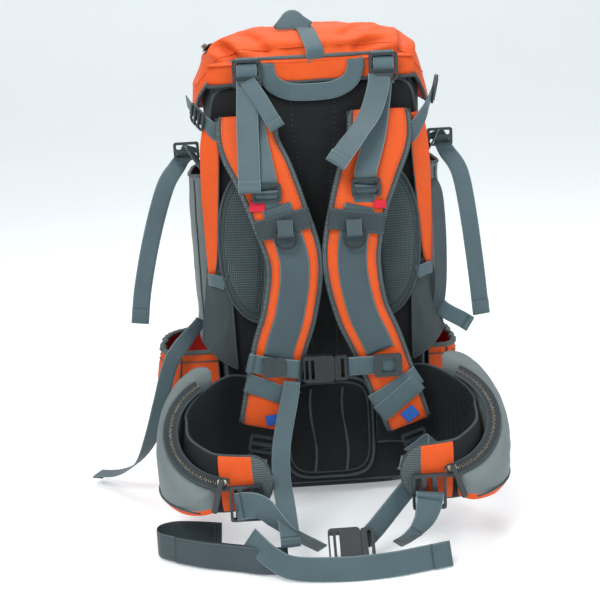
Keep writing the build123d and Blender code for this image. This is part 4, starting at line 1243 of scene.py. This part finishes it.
def makeHipPockets():
    tilt = math.tan(math.radians(hipPocket["tilt"]))
    mx, my, mz = hipPocket["middle"]
    for side, sign in (("left", -1), ("right", 1)):
        piece = startPiece()
        rows = []
        angles = [lerp(hipPocket["from"], hipPocket["to"], smooth(i / 60) * 0.5 + i / 120)
                  for i in range(61)]
        count = 44
        for i, angle in enumerate(angles):
            a = math.radians(angle)
            share = (angle - hipPocket["from"]) / (hipPocket["to"] - hipPocket["from"])
            full = (1 - abs(2 * share - 1) ** 5) ** 0.5
            deep = (hipPocket["outer"] - hipPocket["inner"]) * (0.12 + 0.88 * full)
            row = []
            for k in range(count):
                t = 2 * math.pi * k / count
                u = 0.5 + 0.5 * signedPower(math.cos(t), 0.62)
                v = 0.5 + 0.5 * signedPower(math.sin(t), 0.55)
                radius = hipPocket["inner"] + deep * u
                y = -220 + radius * math.sin(a)
                top = mz + (y - my) * tilt - 2.0
                bottom = hipPocket["floor"] + 5 * (1 - full)
                row.append(Vector((sign * (mx + radius * math.cos(a)), y,
                                   lerp(bottom, max(bottom + 8, top), v))))
            rows.append(row)
        soft = crumple(rows, 1.6, 40, 141)
        shaped = [[q if (q - p).length < 3 else p for p, q in zip(row, softRow)] for row,
                  softRow in zip(rows, soft)]
        ends = []
        for row, plain in ((shaped[0], rows[0]), (shaped[-1], rows[-1])):
            middle = sum(plain, Vector()) / count
            ends.append([[p.lerp(middle, share) for p in row] for share in (0.98, 0.5)])
        addRows(piece, ends[0] + shaped + ends[1][::-1], 0, True, flip=sign > 0)
        # the seam over the orange bottom
        bottomSeam = []
        for angle in range(-64, 63, 3):
            a = math.radians(angle)
            r = hipPocket["outer"] - 0.5
            bottomSeam.append((sign * (mx + r * math.cos(a)), -220 + r * math.sin(a),
                               hipPocket["floor"] + 12))
        paintFaces(piece, 0, lambda c: 2 if c.z < hipPocket["floor"] + 11.5 else 0)
        addTube(piece, bottomSeam, 1.35, 1, 6)
        endPiece(side + "HipPocket", piece, [greyCloth, piping, orange], side + "_wing",
                 [side + "_hip_pocket"])
        zipPiece = startPiece()
        angles = [lerp(hipPocket["zipFrom"], hipPocket["zipTo"], i / 60) for i in range(61)]
        zipRadius = hipPocket["zipRadius"]
        for edge in (-1, 1):
            radius = zipRadius + edge * 4.6
            points = [onZipPlane(sign, angle, radius, 0.2) for angle in angles]
            across = [onZipPlane(sign, angle, radius + 1) - onZipPlane(sign, angle, radius)
                      for angle in angles]
            line = []
            for i, (p, outward) in enumerate(zip(points, across)):
                tangent = (points[min(i + 1, 60)] - points[max(i - 1, 0)]).normalized()
                line.append((p, outward, tangent.cross(outward), 7.6, i * 3.2))
            addRibbon(zipPiece, line, 1.4, 0, columns=6)
            addTube(zipPiece, [onZipPlane(sign, angle, radius + edge * 3.6, 0.6) for angle in angles], 1.5,
                    2, 6)
        sweep = math.radians(hipPocket["zipTo"] - hipPocket["zipFrom"])
        teeth = int(sweep * zipRadius / hipPocket["toothPitch"])
        for i in range(teeth):
            angle = lerp(hipPocket["zipFrom"], hipPocket["zipTo"], (i + 0.5) / teeth)
            shift = 0.4 if i % 2 else -0.4
            near, far = [onZipPlane(sign, angle, zipRadius + d + shift, 1.1) for d in (-1.9, 1.9)]
            addTube(zipPiece, [near, (near + far) / 2, far], 0.85, 1, 6)
        endPiece(side + "HipZip", zipPiece, [zipTape, zipMetal, piping], side + "_wing",
                 [side + "_hip_zip"])


makeBelt()
makeHipPockets()
print("hip belt made")

# Waist belt webbing and its long loose ends.
waist = {
    "leftHeld": ((-126, -300, 80), (-98, -312, 84), (-78, -317, 66), (-60, -320, 50), (-24, -322, 27)),
    "leftBars": (((-104, -291.5, 100), (-105, -296.5, 92), (-106, -303.5, 82), (-107, -303.5, 72),
                  (-110, -292, 60)),
                 ((-122, -291.5, 100), (-121, -296.5, 92), (-120, -303.5, 82), (-121, -303.5, 72),
                  (-122, -292, 60))),
    "floorDark": ((-70, -334, 20), (-100, -330, 19.5), (-130, -318, 19), (-170, -304, 19.5),
                  (-206, -288, 20)),
    "floorLoop": ((-206, -288, 21), (-228, -270, 20), (-229, -252, 20), (-210, -244, 20), (-180, -248, 20),
                  (-150, -256, 20)),
    "front": ((-112, -316, 46), (-86, -338, 28), (-58, -352, 19), (0, -356, 16), (52, -353, 16),
              (96, -343, 16), (132, -333, 16)),
    "rightHeld": ((68, -322, 27), (80, -323.5, 34), (92, -324, 44), (103, -320.5, 58), (110, -313, 74),
                  (112, -304, 84)),
}


def makeWaistWebbing():
    piece = startPiece()
    across = [(0.25, 0.1, 1), (0.2, -0.1, 1), (0.1, -0.4, 0.9), (0, -0.6, 0.8), (0, -0.643, 0.766)]
    addStrap(piece, waist["leftHeld"], (34, 34, 35, 35, 34), across, hemStart=12, seed=150, ripple=0.8)
    held = endPiece("leftBeltWebbing", piece, [webbing, sewing], None, ["left_belt_webbing"])
    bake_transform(held)
    piece = startPiece()
    for i, points in enumerate(waist["leftBars"]):
        addStrap(piece, points, 13, (1, 0, 0.1), 1.6, seed=152 + i, ripple=0.2)
    endPiece("leftAdjusterWebbing", piece, [darkWebbing, sewing], "left_wing")
    piece = startPiece()
    upright = (0, 0.1, 1)
    addStrap(piece, waist["floorDark"], 34, upright, hemStart=0, seed=154, ripple=1.5, slot=0)
    addStrap(piece, [(x + 4, y + 5, z - 0.5) for x, y, z in waist["floorDark"]], 32, upright, seed=155,
             ripple=1.5)
    addStrap(piece, waist["floorLoop"], 34, [upright] * 3 + [(0, 0.25, 1)] * 3, seed=156, ripple=1.0,
             hemEnd=14)
    endPiece("beltFloorStrap", piece, [darkWebbing, sewing], "pack")
    piece = startPiece()
    across = [(0.5, 0.0, 0.8), (0.35, 0.0, 0.8), (0.15, 0.1, 0.9), (0, 0.2, 0.95), (0, 0.25, 0.93),
              (0, 0.3, 0.9), (0, 0.3, 0.9)]
    addStrap(piece, waist["front"], (28, 30, 31, 31, 31, 31, 31), across, hemEnd=26, seed=157, ripple=0.6)
    loose = endPiece("beltLooseEnd", piece, [webbing, sewing], None)
    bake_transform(loose)
    piece = startPiece()
    across = [(0, -0.643, 0.766), (-0.2, -0.6, 0.75), (-0.5, -0.5, 0.7), (-0.8, -0.3, 0.5),
              (-0.95, -0.1, 0.3), (-1, 0, 0.1)]
    widths = (30, 30, 30, 32, 34, 34)
    addStrap(piece, waist["rightHeld"][2:], widths[2:], across[2:], hemEnd=10, seed=158, ripple=0.5)
    held = endPiece("rightBeltWebbing", piece, [webbing, sewing], None, ["right_belt_webbing"])
    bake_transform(held)
    piece = startPiece()
    addStrap(piece, waist["rightHeld"][:3], widths[:3], across[:3], seed=159, ripple=0.3)
    held = endPiece("tongueWebbing", piece, [webbing, sewing], None)
    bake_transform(held)


makeWaistWebbing()
print("waist webbing made")

# Side and front pockets: open pouches sewn to the bag, with a gathered rim or a plain hem.
pouches = {
    "leftBottlePocket": {"node": "left_side_pocket", "wall": (-1, 0), "power": 3.4, "rim": 0.1,
                         "taller": 10, "gathers": 17, "round": 26,
                         "fold": 3.2, "cloth": "orange", "slot": "orange_cloth"},
    "rightBottlePocket": {"node": "right_side_pocket", "wall": (1, 0), "power": 3.2, "rim": 0.08,
                          "gathers": 15, "round": 16,
                          "fold": 2.4, "cloth": "orange", "slot": "orange_cloth"},
    "leftSidePouch": {"node": "left_side_bellows", "wall": (-1, 0), "power": 3.4, "rim": 0.05, "gathers": 0,
                      "round": 10,
                      "fold": 2.6, "cloth": "grey", "slot": "grey_cloth"},
    "rightSidePouch": {"node": "right_side_bellows", "wall": (1, 0), "power": 3.4, "rim": 0.05,
                       "gathers": 0, "round": 10,
                       "fold": 2.6, "cloth": "grey", "slot": "grey_cloth"},
    "frontPouch": {"node": "front_pocket", "wall": (0, 1), "power": 3.8, "rim": 0.04, "gathers": 0,
                   "round": 16,
                   "fold": 2.8, "cloth": "orange", "slot": "orange_cloth"},
}
pouchCloths = {"orange": orange, "grey": greyCloth}


def makePouch(name, values, seed):
    low, high = nodeBox(values["node"])
    outX, outY = values["wall"]
    if outX:
        deep, half = high.x - low.x, (high.y - low.y) / 2
        base, along = (low.x if outX > 0 else high.x), (low.y + high.y) / 2
    else:
        deep, half = high.y - low.y, (high.x - low.x) / 2
        base, along = low.y, (low.x + high.x) / 2
    count, power = 96, values["power"]

    def ringAt(z, share, inset):
        under = min(1.0, (z - low.z) / values["round"])
        pull = values["round"] * 0.7 * (1 - math.sqrt(max(0.0, 1 - (1 - under) ** 2)))
        closing = 1 - values["rim"] * smooth((share - 0.72) / 0.28)
        narrowing = 1 - values["rim"] * 0.25 * smooth((share - 0.8) / 0.2)
        ring = []
        for k in range(count):
            a = math.pi * (k / (count - 1) - 0.5)
            out = (deep - inset - pull) * closing * abs(math.cos(a)) ** (2 / power)
            side = (half - inset - pull * 0.6) * narrowing * signedPower(math.sin(a), 2 / power)
            if values["gathers"]:
                ruffle = smooth((share - 0.55) / 0.4) * 2.4 * math.sin(k / count * 2 * math.pi
                        * values["gathers"])
                out += ruffle * math.cos(a) ** 0.5 if math.cos(a) > 0 else 0
            out = max(out, 0.6)
            p = (base + outX * out, along + side) if outX else (along + side, base + outY * out)
            ring.append(Vector((p[0], p[1], z)))
        return ring
    dip = 0.16 if values["gathers"] else 0.05
    levels = 44
    rows = []
    for i in range(levels + 1):
        share = i / levels
        row = ringAt(lerp(low.z, high.z + values.get("taller", 0), share), share, 0.6)
        for k, p in enumerate(row):   # the rim dips between the bag and the outer corner
            a = k / (count - 1)
            p.z -= dip * 24 * math.sin(math.pi * a) * share ** 3
        rows.append(row)
    bottom = rows[0]
    middle = sum(bottom, Vector()) / count
    caps = [[p.lerp(middle, s) for p in bottom] for s in (0.98, 0.6, 0.25)]
    softened = crumple(rows, values["fold"], 48, seed, (1, 1, 0.7))
    outer = []
    for i, (row, soft) in enumerate(zip(rows, softened)):
        hold = smooth(i / 6) * smooth((levels - i) / 5)
        edge = [min(1.0, k / 5, (count - 1 - k) / 5) for k in range(count)]
        outer.append([p.lerp(q, hold * e) for p, q, e in zip(row, soft, edge)])

    def centreAt(z):
        return Vector((base + outX * deep * 0.4, along,
                       z) if outX else (along, base + outY * deep * 0.4, z))
    inner = [[p + (centreAt(p.z) - p).normalized() * 2.2 for p in row] for row in outer]
    piece = startPiece()
    forward = outX > 0 or outY > 0
    addRows(piece, caps + outer, 0, flip=forward)
    addRows(piece, inner, 1, flip=not forward)
    addRows(piece, [outer[-1], inner[-1]], 1, flip=forward)
    rim = outer[-1]
    addTube(piece, [p.lerp(inner[-1][k], 0.5) for k, p in enumerate(rim)],
            3.4 if values["gathers"] else 2.4, 2, 8)
    if values["gathers"]:
        band = outer[-4]
        addTube(piece, [p + (p - centreAt(p.z)).normalized() * 0.5 for p in band], 1.0, 2, 6)
    for k in (14, count - 15) if outX else (12, count - 13):
        addTube(piece, [row[k] + (row[k] - centreAt(row[k].z)).normalized() * 0.5 for row in outer[2:-1]],
                1.2, 3, 6)
    for edge in (0, -1):
        addTube(piece, [row[edge] for row in outer], 1.4, 3, 6)
    backRow = [[row[0].lerp(row[-1], t) for t in (0, 0.25, 0.5, 0.75, 1)] for row in outer]
    addRows(piece, backRow, 1)
    lining = redCloth if values["gathers"] else slateCloth
    cloths = [pouchCloths[values["cloth"]], lining, elastic, piping]
    endPiece(name, piece, cloths, "pack", [values["node"]])


def makePouches():
    for i, (name, values) in enumerate(pouches.items()):
        makePouch(name, values, 170 + i * 3)
    # a curved zip across the front pouch, and orange strips in front of the side pouches
    low, high = nodeBox("front_pocket")
    piece = startPiece()
    bow = ((-78, -2.0, 330), (-40, 0.2, 350), (0, 0.6, 356), (40, 0.2, 350), (78, -2.0, 330))
    arc = strapLine([(x, high.y + out, z) for x, out, z in bow], (0, 0, 1), 13, 4)
    arc = [(c, s, f * -1, w, length) for c, s, f, w, length in arc]
    addRibbon(piece, arc, 1.4, 0)
    out = Vector((0, 1, 0))
    for centre, across, face, width, length in arc:
        addTube(piece, [centre + across * -2 + out, centre + out, centre + across * 2 + out], 0.9, 1, 6)
    endPiece("frontZip", piece, [zipTape, zipMetal], "pack")
    piece = startPiece()
    for sign in (-1, 1):
        line = strapLine([(sign * 134, -114, 532), (sign * 137, -116, 494), (sign * 141, -114, 430),
                          (sign * 144, -109, 360),
                          (sign * 147, -103, 322)], (sign * 0.85, 0.5, 0), [20, 29, 27, 19, 9], 6)
        addRibbon(piece, line, 3.0, 0, crown=1.5, ripple=1.5, seed=190 + sign)
        addTube(piece, [c - s * (w * 0.47) for c, s, f, w, length in line], 1.3, 1, 6)
    endPiece("sideStrips", piece, [orange, piping], "pack")


makePouches()
print("pockets made")

# Side compression straps with long loose ends, and the strap that trails on the floor.
sideStraps = {
    "upperLeft": ((-166, -68, 500), (-172, -72, 488), (-184, -68, 474), (-203, -74, 446), (-226, -79, 380),
                  (-244, -82, 310),
                  (-252, -83, 262)),
    "upperRight": ((166, -68, 502), (172, -72, 490), (180, -68, 474), (197, -74, 444), (208, -78, 380),
                   (217, -81, 300), (222, -83, 246)),
    "anchors": (((-150, -82, 470), (-160, -78, 486), (-168, -74, 500)),
                ((150, -82, 474), (160, -78, 488), (168, -74, 502))),
    "lowerLeft": ((-166, -86, 262), (-190, -84, 236), (-214, -90, 204), (-232, -92, 150), (-252, -90, 92),
                  (-276, -74, 52), (-310, -44, 25),
                  (-346, -14, 14)),
    "lowerRight": ((156, -86, 276), (166, -106, 262), (190, -113, 248), (200, -110, 240)),
    "hanging": ((154, -96, 440), (160, -106, 420), (163, -110, 360), (162, -110, 300), (158, -100, 256)),
}


def makeSideStraps():
    piece = startPiece()
    turned = [(1, 0, 0.2), (1, 0, 0.2), (1, 0, 0.15), (1, 0.1, 0.1), (1, 0.1, 0.1), (1, 0.1, 0.05),
              (1, 0.1, 0.0)]
    for i, name in enumerate(("upperLeft", "upperRight")):
        addStrap(piece, sideStraps[name], (19, 20, 22, 24, 24, 24, 24), turned, hemEnd=20, ripple=1.4,
                 seed=200 + i)
    for i, points in enumerate(sideStraps["anchors"]):
        addStrap(piece, points, 20, (0.2, 1, 0.1), seed=202 + i)
    lying = [(1, 0.2, 0.4)] * 4 + [(0.9, 0.3, 0.3), (0.55, 0.8, 0.1), (0.4, 0.9, 0.1), (0.4, 0.9, 0.1)]
    addStrap(piece, sideStraps["lowerLeft"], 22, lying, hemEnd=22, ripple=1.2, seed=204)
    addStrap(piece, sideStraps["lowerRight"], 22, (0.3, 0.1, 1), hemEnd=12, seed=205)
    addStrap(piece, sideStraps["hanging"], 17, (1, 0.2, 0), seed=206, slot=2)
    endPiece("sideStraps", piece, [webbing, sewing, darkWebbing], "pack", ["side_straps"])


# Lid straps: a folded one over the middle of the back, and two at the front with their buckles.
lidStraps = {
    "rear": ((8, -112.6, 590), (7, -114.5, 604), (6, -115.2, 618), (1, -105, 634), (-3, -90, 648),
             (-7, -74, 655), (-12, -58, 657.6)),
    # the loose end is folded over into two facets like a roof
    "arrow": ((-43, -76, 647), (-31, -74, 652), (-20, -73, 656), (-9, -75, 652), (3, -78, 646)),
    "arrowWidths": [5, 18, 28, 20, 15],
}


def makeLidStraps():
    piece = startPiece()
    rear = lidStraps["rear"]
    line = strapLine(list(rear[:3]) + [onLid(p, 1.8) for p in rear[3:]], (1, 0.12, 0), 23, 3)
    addRibbon(piece, line, 2.0, 0, ripple=0.5, seed=210)
    sewEdges(piece, line, 0.42, 1.0)
    addHem(piece, line, 2.0, 0, 12, False)
    strapObj = endPiece("lidRearStrap", piece, [webbing, sewing], None)
    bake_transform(strapObj)
    piece = startPiece()
    fold = strapLine(lidStraps["arrow"], (0.1, 0.45, 1), lidStraps["arrowWidths"], 2)
    addRibbon(piece, fold, 1.8, 0, ripple=0.3, seed=211)
    for sign in (-1, 1):
        points = ((sign * 70, 112, 560), (sign * 70, 138, 548), (sign * 70, 138.4, 525),
                  (sign * 70, 135, 512))
        addStrap(piece, points, 24, (1, 0, 0), seed=212 + sign)
    endPiece("lidStraps", piece, [webbing, sewing], "lid", ["lid_straps"])
    piece = startPiece()
    for sign in (-1, 1):
        points = ((sign * 70, 111, 457), (sign * 70, 107, 440), (sign * 70, 104.5, 424),
                  (sign * 70, 104, 417))
        addStrap(piece, points, 24, (1, 0, 0), seed=214 + sign, hemEnd=10)
    endPiece("frontBagStraps", piece, [webbing, sewing], "pack", ["front_bag_straps"])


# The lid's zip runs along its left shoulder.
lidZip = {"tape": 6.4, "offset": 3.6, "lift": 0.8, "toothPitch": 3, "tooth": 0.85}


def makeLidZip():
    low, high = nodeBox("lid_zip")
    x, z = (low.x + high.x) / 2, (low.z + high.z) / 2
    piece = startPiece()
    for offset in (-lidZip["offset"] * 0.7, lidZip["offset"] * 0.7):
        points = [(x + offset, lerp(low.y, high.y, i / 6), z + offset + lidZip["lift"]) for i in range(7)]
        addRibbon(piece, strapLine(points, (0.7, 0, 0.7), lidZip["tape"], 5), 1.4, 0, columns=6)
    count = int((high.y - low.y) / lidZip["toothPitch"])
    for i in range(count):
        y = lerp(low.y + 1, high.y - 1, i / (count - 1))
        middle = Vector((x - 0.8, y, z + 1.8))
        way = Vector((0.7, 0, 0.7)) * 2.0
        addTube(piece, [middle - way, middle, middle + way], lidZip["tooth"], 1, 6)
    endPiece("lidZip", piece, [zipTape, zipMetal], "lid", ["lid_zip"])


makeSideStraps()
makeLidStraps()
makeLidZip()
print("straps and lid zip made")

# Hardware keeps its machined shape and takes moulded or metal finishes.
hardware = {
    "slate": ("lifter_locks", "strap_locks", "sternum_slide_left", "sternum_slide_right",
              "left_belt_adjuster", "right_belt_adjuster"),
    "black": ("left_d_ring", "right_d_ring", "sternum_socket", "sternum_tongue", "waist_socket",
              "waist_tongue", "front_sockets",
              "front_tongues", "frame_sheet"),
    "metal": ("left_hip_slider", "right_hip_slider", "lid_slider"),
    "cord": ("left_hip_pull", "right_hip_pull"),
    "stay": ("frame_stays",),
}


def finishHardware():
    finishes = {"slate": slatePlastic, "black": blackPlastic, "metal": zipMetal, "stay": stayMetal,
                "cord": pullCord}
    for kind, nodes in hardware.items():
        for node in nodes:
            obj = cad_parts[node]
            obj.data.materials.clear()
            obj.data.materials.append(finishes[kind])


finishHardware()
print("hardware finished")

# Grey cloth gussets join the sides of the bag to the belt, under the side straps.
gusset = {"corners": ((-152, -92, 338), (-122, -118, 332), (-166, -100, 236), (-120, -124, 200)),
          "fold": 3.5}


def makeGussets():
    for side, sign in (("left", -1), ("right", 1)):
        topOut, topIn, lowOut, lowIn = [Vector((-sign * x, y, z)) for x, y, z in gusset["corners"]]
        rows = []
        for i in range(29):
            v = i / 28
            a, b = topOut.lerp(lowOut, v), topIn.lerp(lowIn, v)
            row = []
            for j in range(25):
                u = j / 24
                p = a.lerp(b, u)
                belly = math.sin(math.pi * u) * (5 + 5 * v)
                row.append(p + Vector((sign * 0.4, -1, 0)).normalized() * belly)
            rows.append(row)
        soft = crumple(rows, gusset["fold"], 42, 220 + sign, (1, 1, 0.6))
        front = [[p.lerp(q, min(1, j / 4, (24 - j) / 4, i / 3, (28 - i) / 3)) for j,
                  (p, q) in enumerate(zip(r, s))]
                 for i, (r, s) in enumerate(zip(rows, soft))]
        piece = startPiece()
        back = [[p + Vector((0, 2.0, 0)) for p in row] for row in front]
        addRows(piece, front, 0, flip=sign > 0)
        addRows(piece, back, 0, flip=sign < 0)
        for line in (front[0], front[-1], [r[0] for r in front], [r[-1] for r in front]):
            addTube(piece, [p + Vector((0, 1, 0)) for p in line], 1.6, 1, 6)
        band = strapLine([rows[4][2] + Vector((0, -7, 0)), rows[3][9] + Vector((0, -9, 0)),
                          rows[3][20] + Vector((0, -6, 0))],
                         (0, 0, 1), 17, 3)
        addRibbon(piece, band, 1.8, 2, seed=230)
        endPiece(side + "Gusset", piece, [slateCloth, piping, webbing], "pack")


# Straps that pull the lid down at its two back corners, each with a ladder lock.
lidSide = {
    "left": {"webbing": ((-163, -86, 560), (-153, -106, 547), (-136, -123, 530), (-120, -124, 516),
                         (-104, -120, 506)),
             "lock": (-147, -113, 540)},
    "right": {"webbing": ((163, -84, 570), (157, -104, 556), (146, -122, 538), (132, -128, 516),
                          (120, -128, 500)),
              "lock": (158, -100, 560)},
}


def addLadderLock(piece, centre, across, along, face, size, bar, slot):
    # a flat frame with two cross bars
    across, along = across.normalized(), along.normalized()
    w, h = size[0] / 2, size[1] / 2
    corner = [(-w, -h), (w, -h), (w, h), (-w, h)]
    ring = []
    for (x0, y0), (x1, y1) in zip(corner, corner[1:] + corner[:1]):
        for t in (0.1, 0.3, 0.5, 0.7, 0.9):
            ring.append(centre + across * lerp(x0, x1, t) + along * lerp(y0, y1, t))
    addTube(piece, ring, bar / 2, slot, 8, True)
    for y in (-h * 0.3, h * 0.36):
        addTube(piece, [centre + across * x + along * y + face * 0.8 for x in (-w, 0, w)], bar * 0.55, slot,
                8)


def makeLidSideStraps():
    for side, sign in (("left", -1), ("right", 1)):
        values = lidSide[side]
        piece = startPiece()
        line = addStrap(piece, values["webbing"], 20, (0.2 * sign, -0.1, 1), hemEnd=8, seed=240 + sign,
                        ripple=0.6)
        centre = Vector(values["lock"])
        middle, across, face, _, _ = min(line, key=lambda station: (station[0] - centre).length)
        out = face if face.y < 0 else -face
        addLadderLock(piece, middle + out * 2.4, across, across.cross(face), out, (28, 26), 3.6, 2)
        strapObj = endPiece(side + "LidSideStrap", piece, [webbing, sewing, slatePlastic], None)
        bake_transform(strapObj)


# Webbing that fills the slots of the top locks, and the folded end over each lower bar.
def makeLockWebbing():
    piece = startPiece()
    for x in (-82, 92):
        addStrap(piece, ((x, -116.6, 612), (x, -119.0, 604), (x, -120.4, 592), (x, -120.4, 578),
                         (x, -119.8, 570)), 28, seed=250)
        addStrap(piece, ((x, -121.0, 606), (x, -127.6, 601), (x, -128.6, 596), (x, -127.6, 590),
                         (x, -121.5, 586)), 26, seed=251)
        tab = strapLine([(x, -128.0, 584), (x, -129.6, 577), (x, -129.4, 571)], (1, 0, 0), [26, 22, 10], 2)
        addRibbon(piece, tab, 2.6, 2)
    endPiece("lockWebbing", piece, [webbing, sewing, slatePlastic], "pack")


# The right shoulder strap's long loose end loops out and falls towards the waist buckle.
shoulderTail = {
    "line": ((104, -190, 92), (118, -202, 104), (132, -212, 116), (128, -232, 106), (100, -258, 82),
             (68, -284, 58),
             (42, -300, 36), (28, -306, 27)),
    "across": ((1, 0, 0), (0.9, 0, -0.4), (0.7, -0.1, -0.6), (0.6, -0.2, -0.75), (0.56, -0.2, -0.75),
               (0.56, -0.2, -0.75), (0.56, -0.2, -0.75), (0.5, -0.2, -0.75)),
}


def makeShoulderTail():
    piece = startPiece()
    addStrap(piece, shoulderTail["line"], 24, shoulderTail["across"], hemEnd=12, ripple=1.0, seed=260)
    endPiece("rightShoulderTail", piece, [webbing, sewing], "pack")


makeGussets()
makeShoulderTail()
makeLidSideStraps()
makeLockWebbing()
print("gussets and lid side straps made")
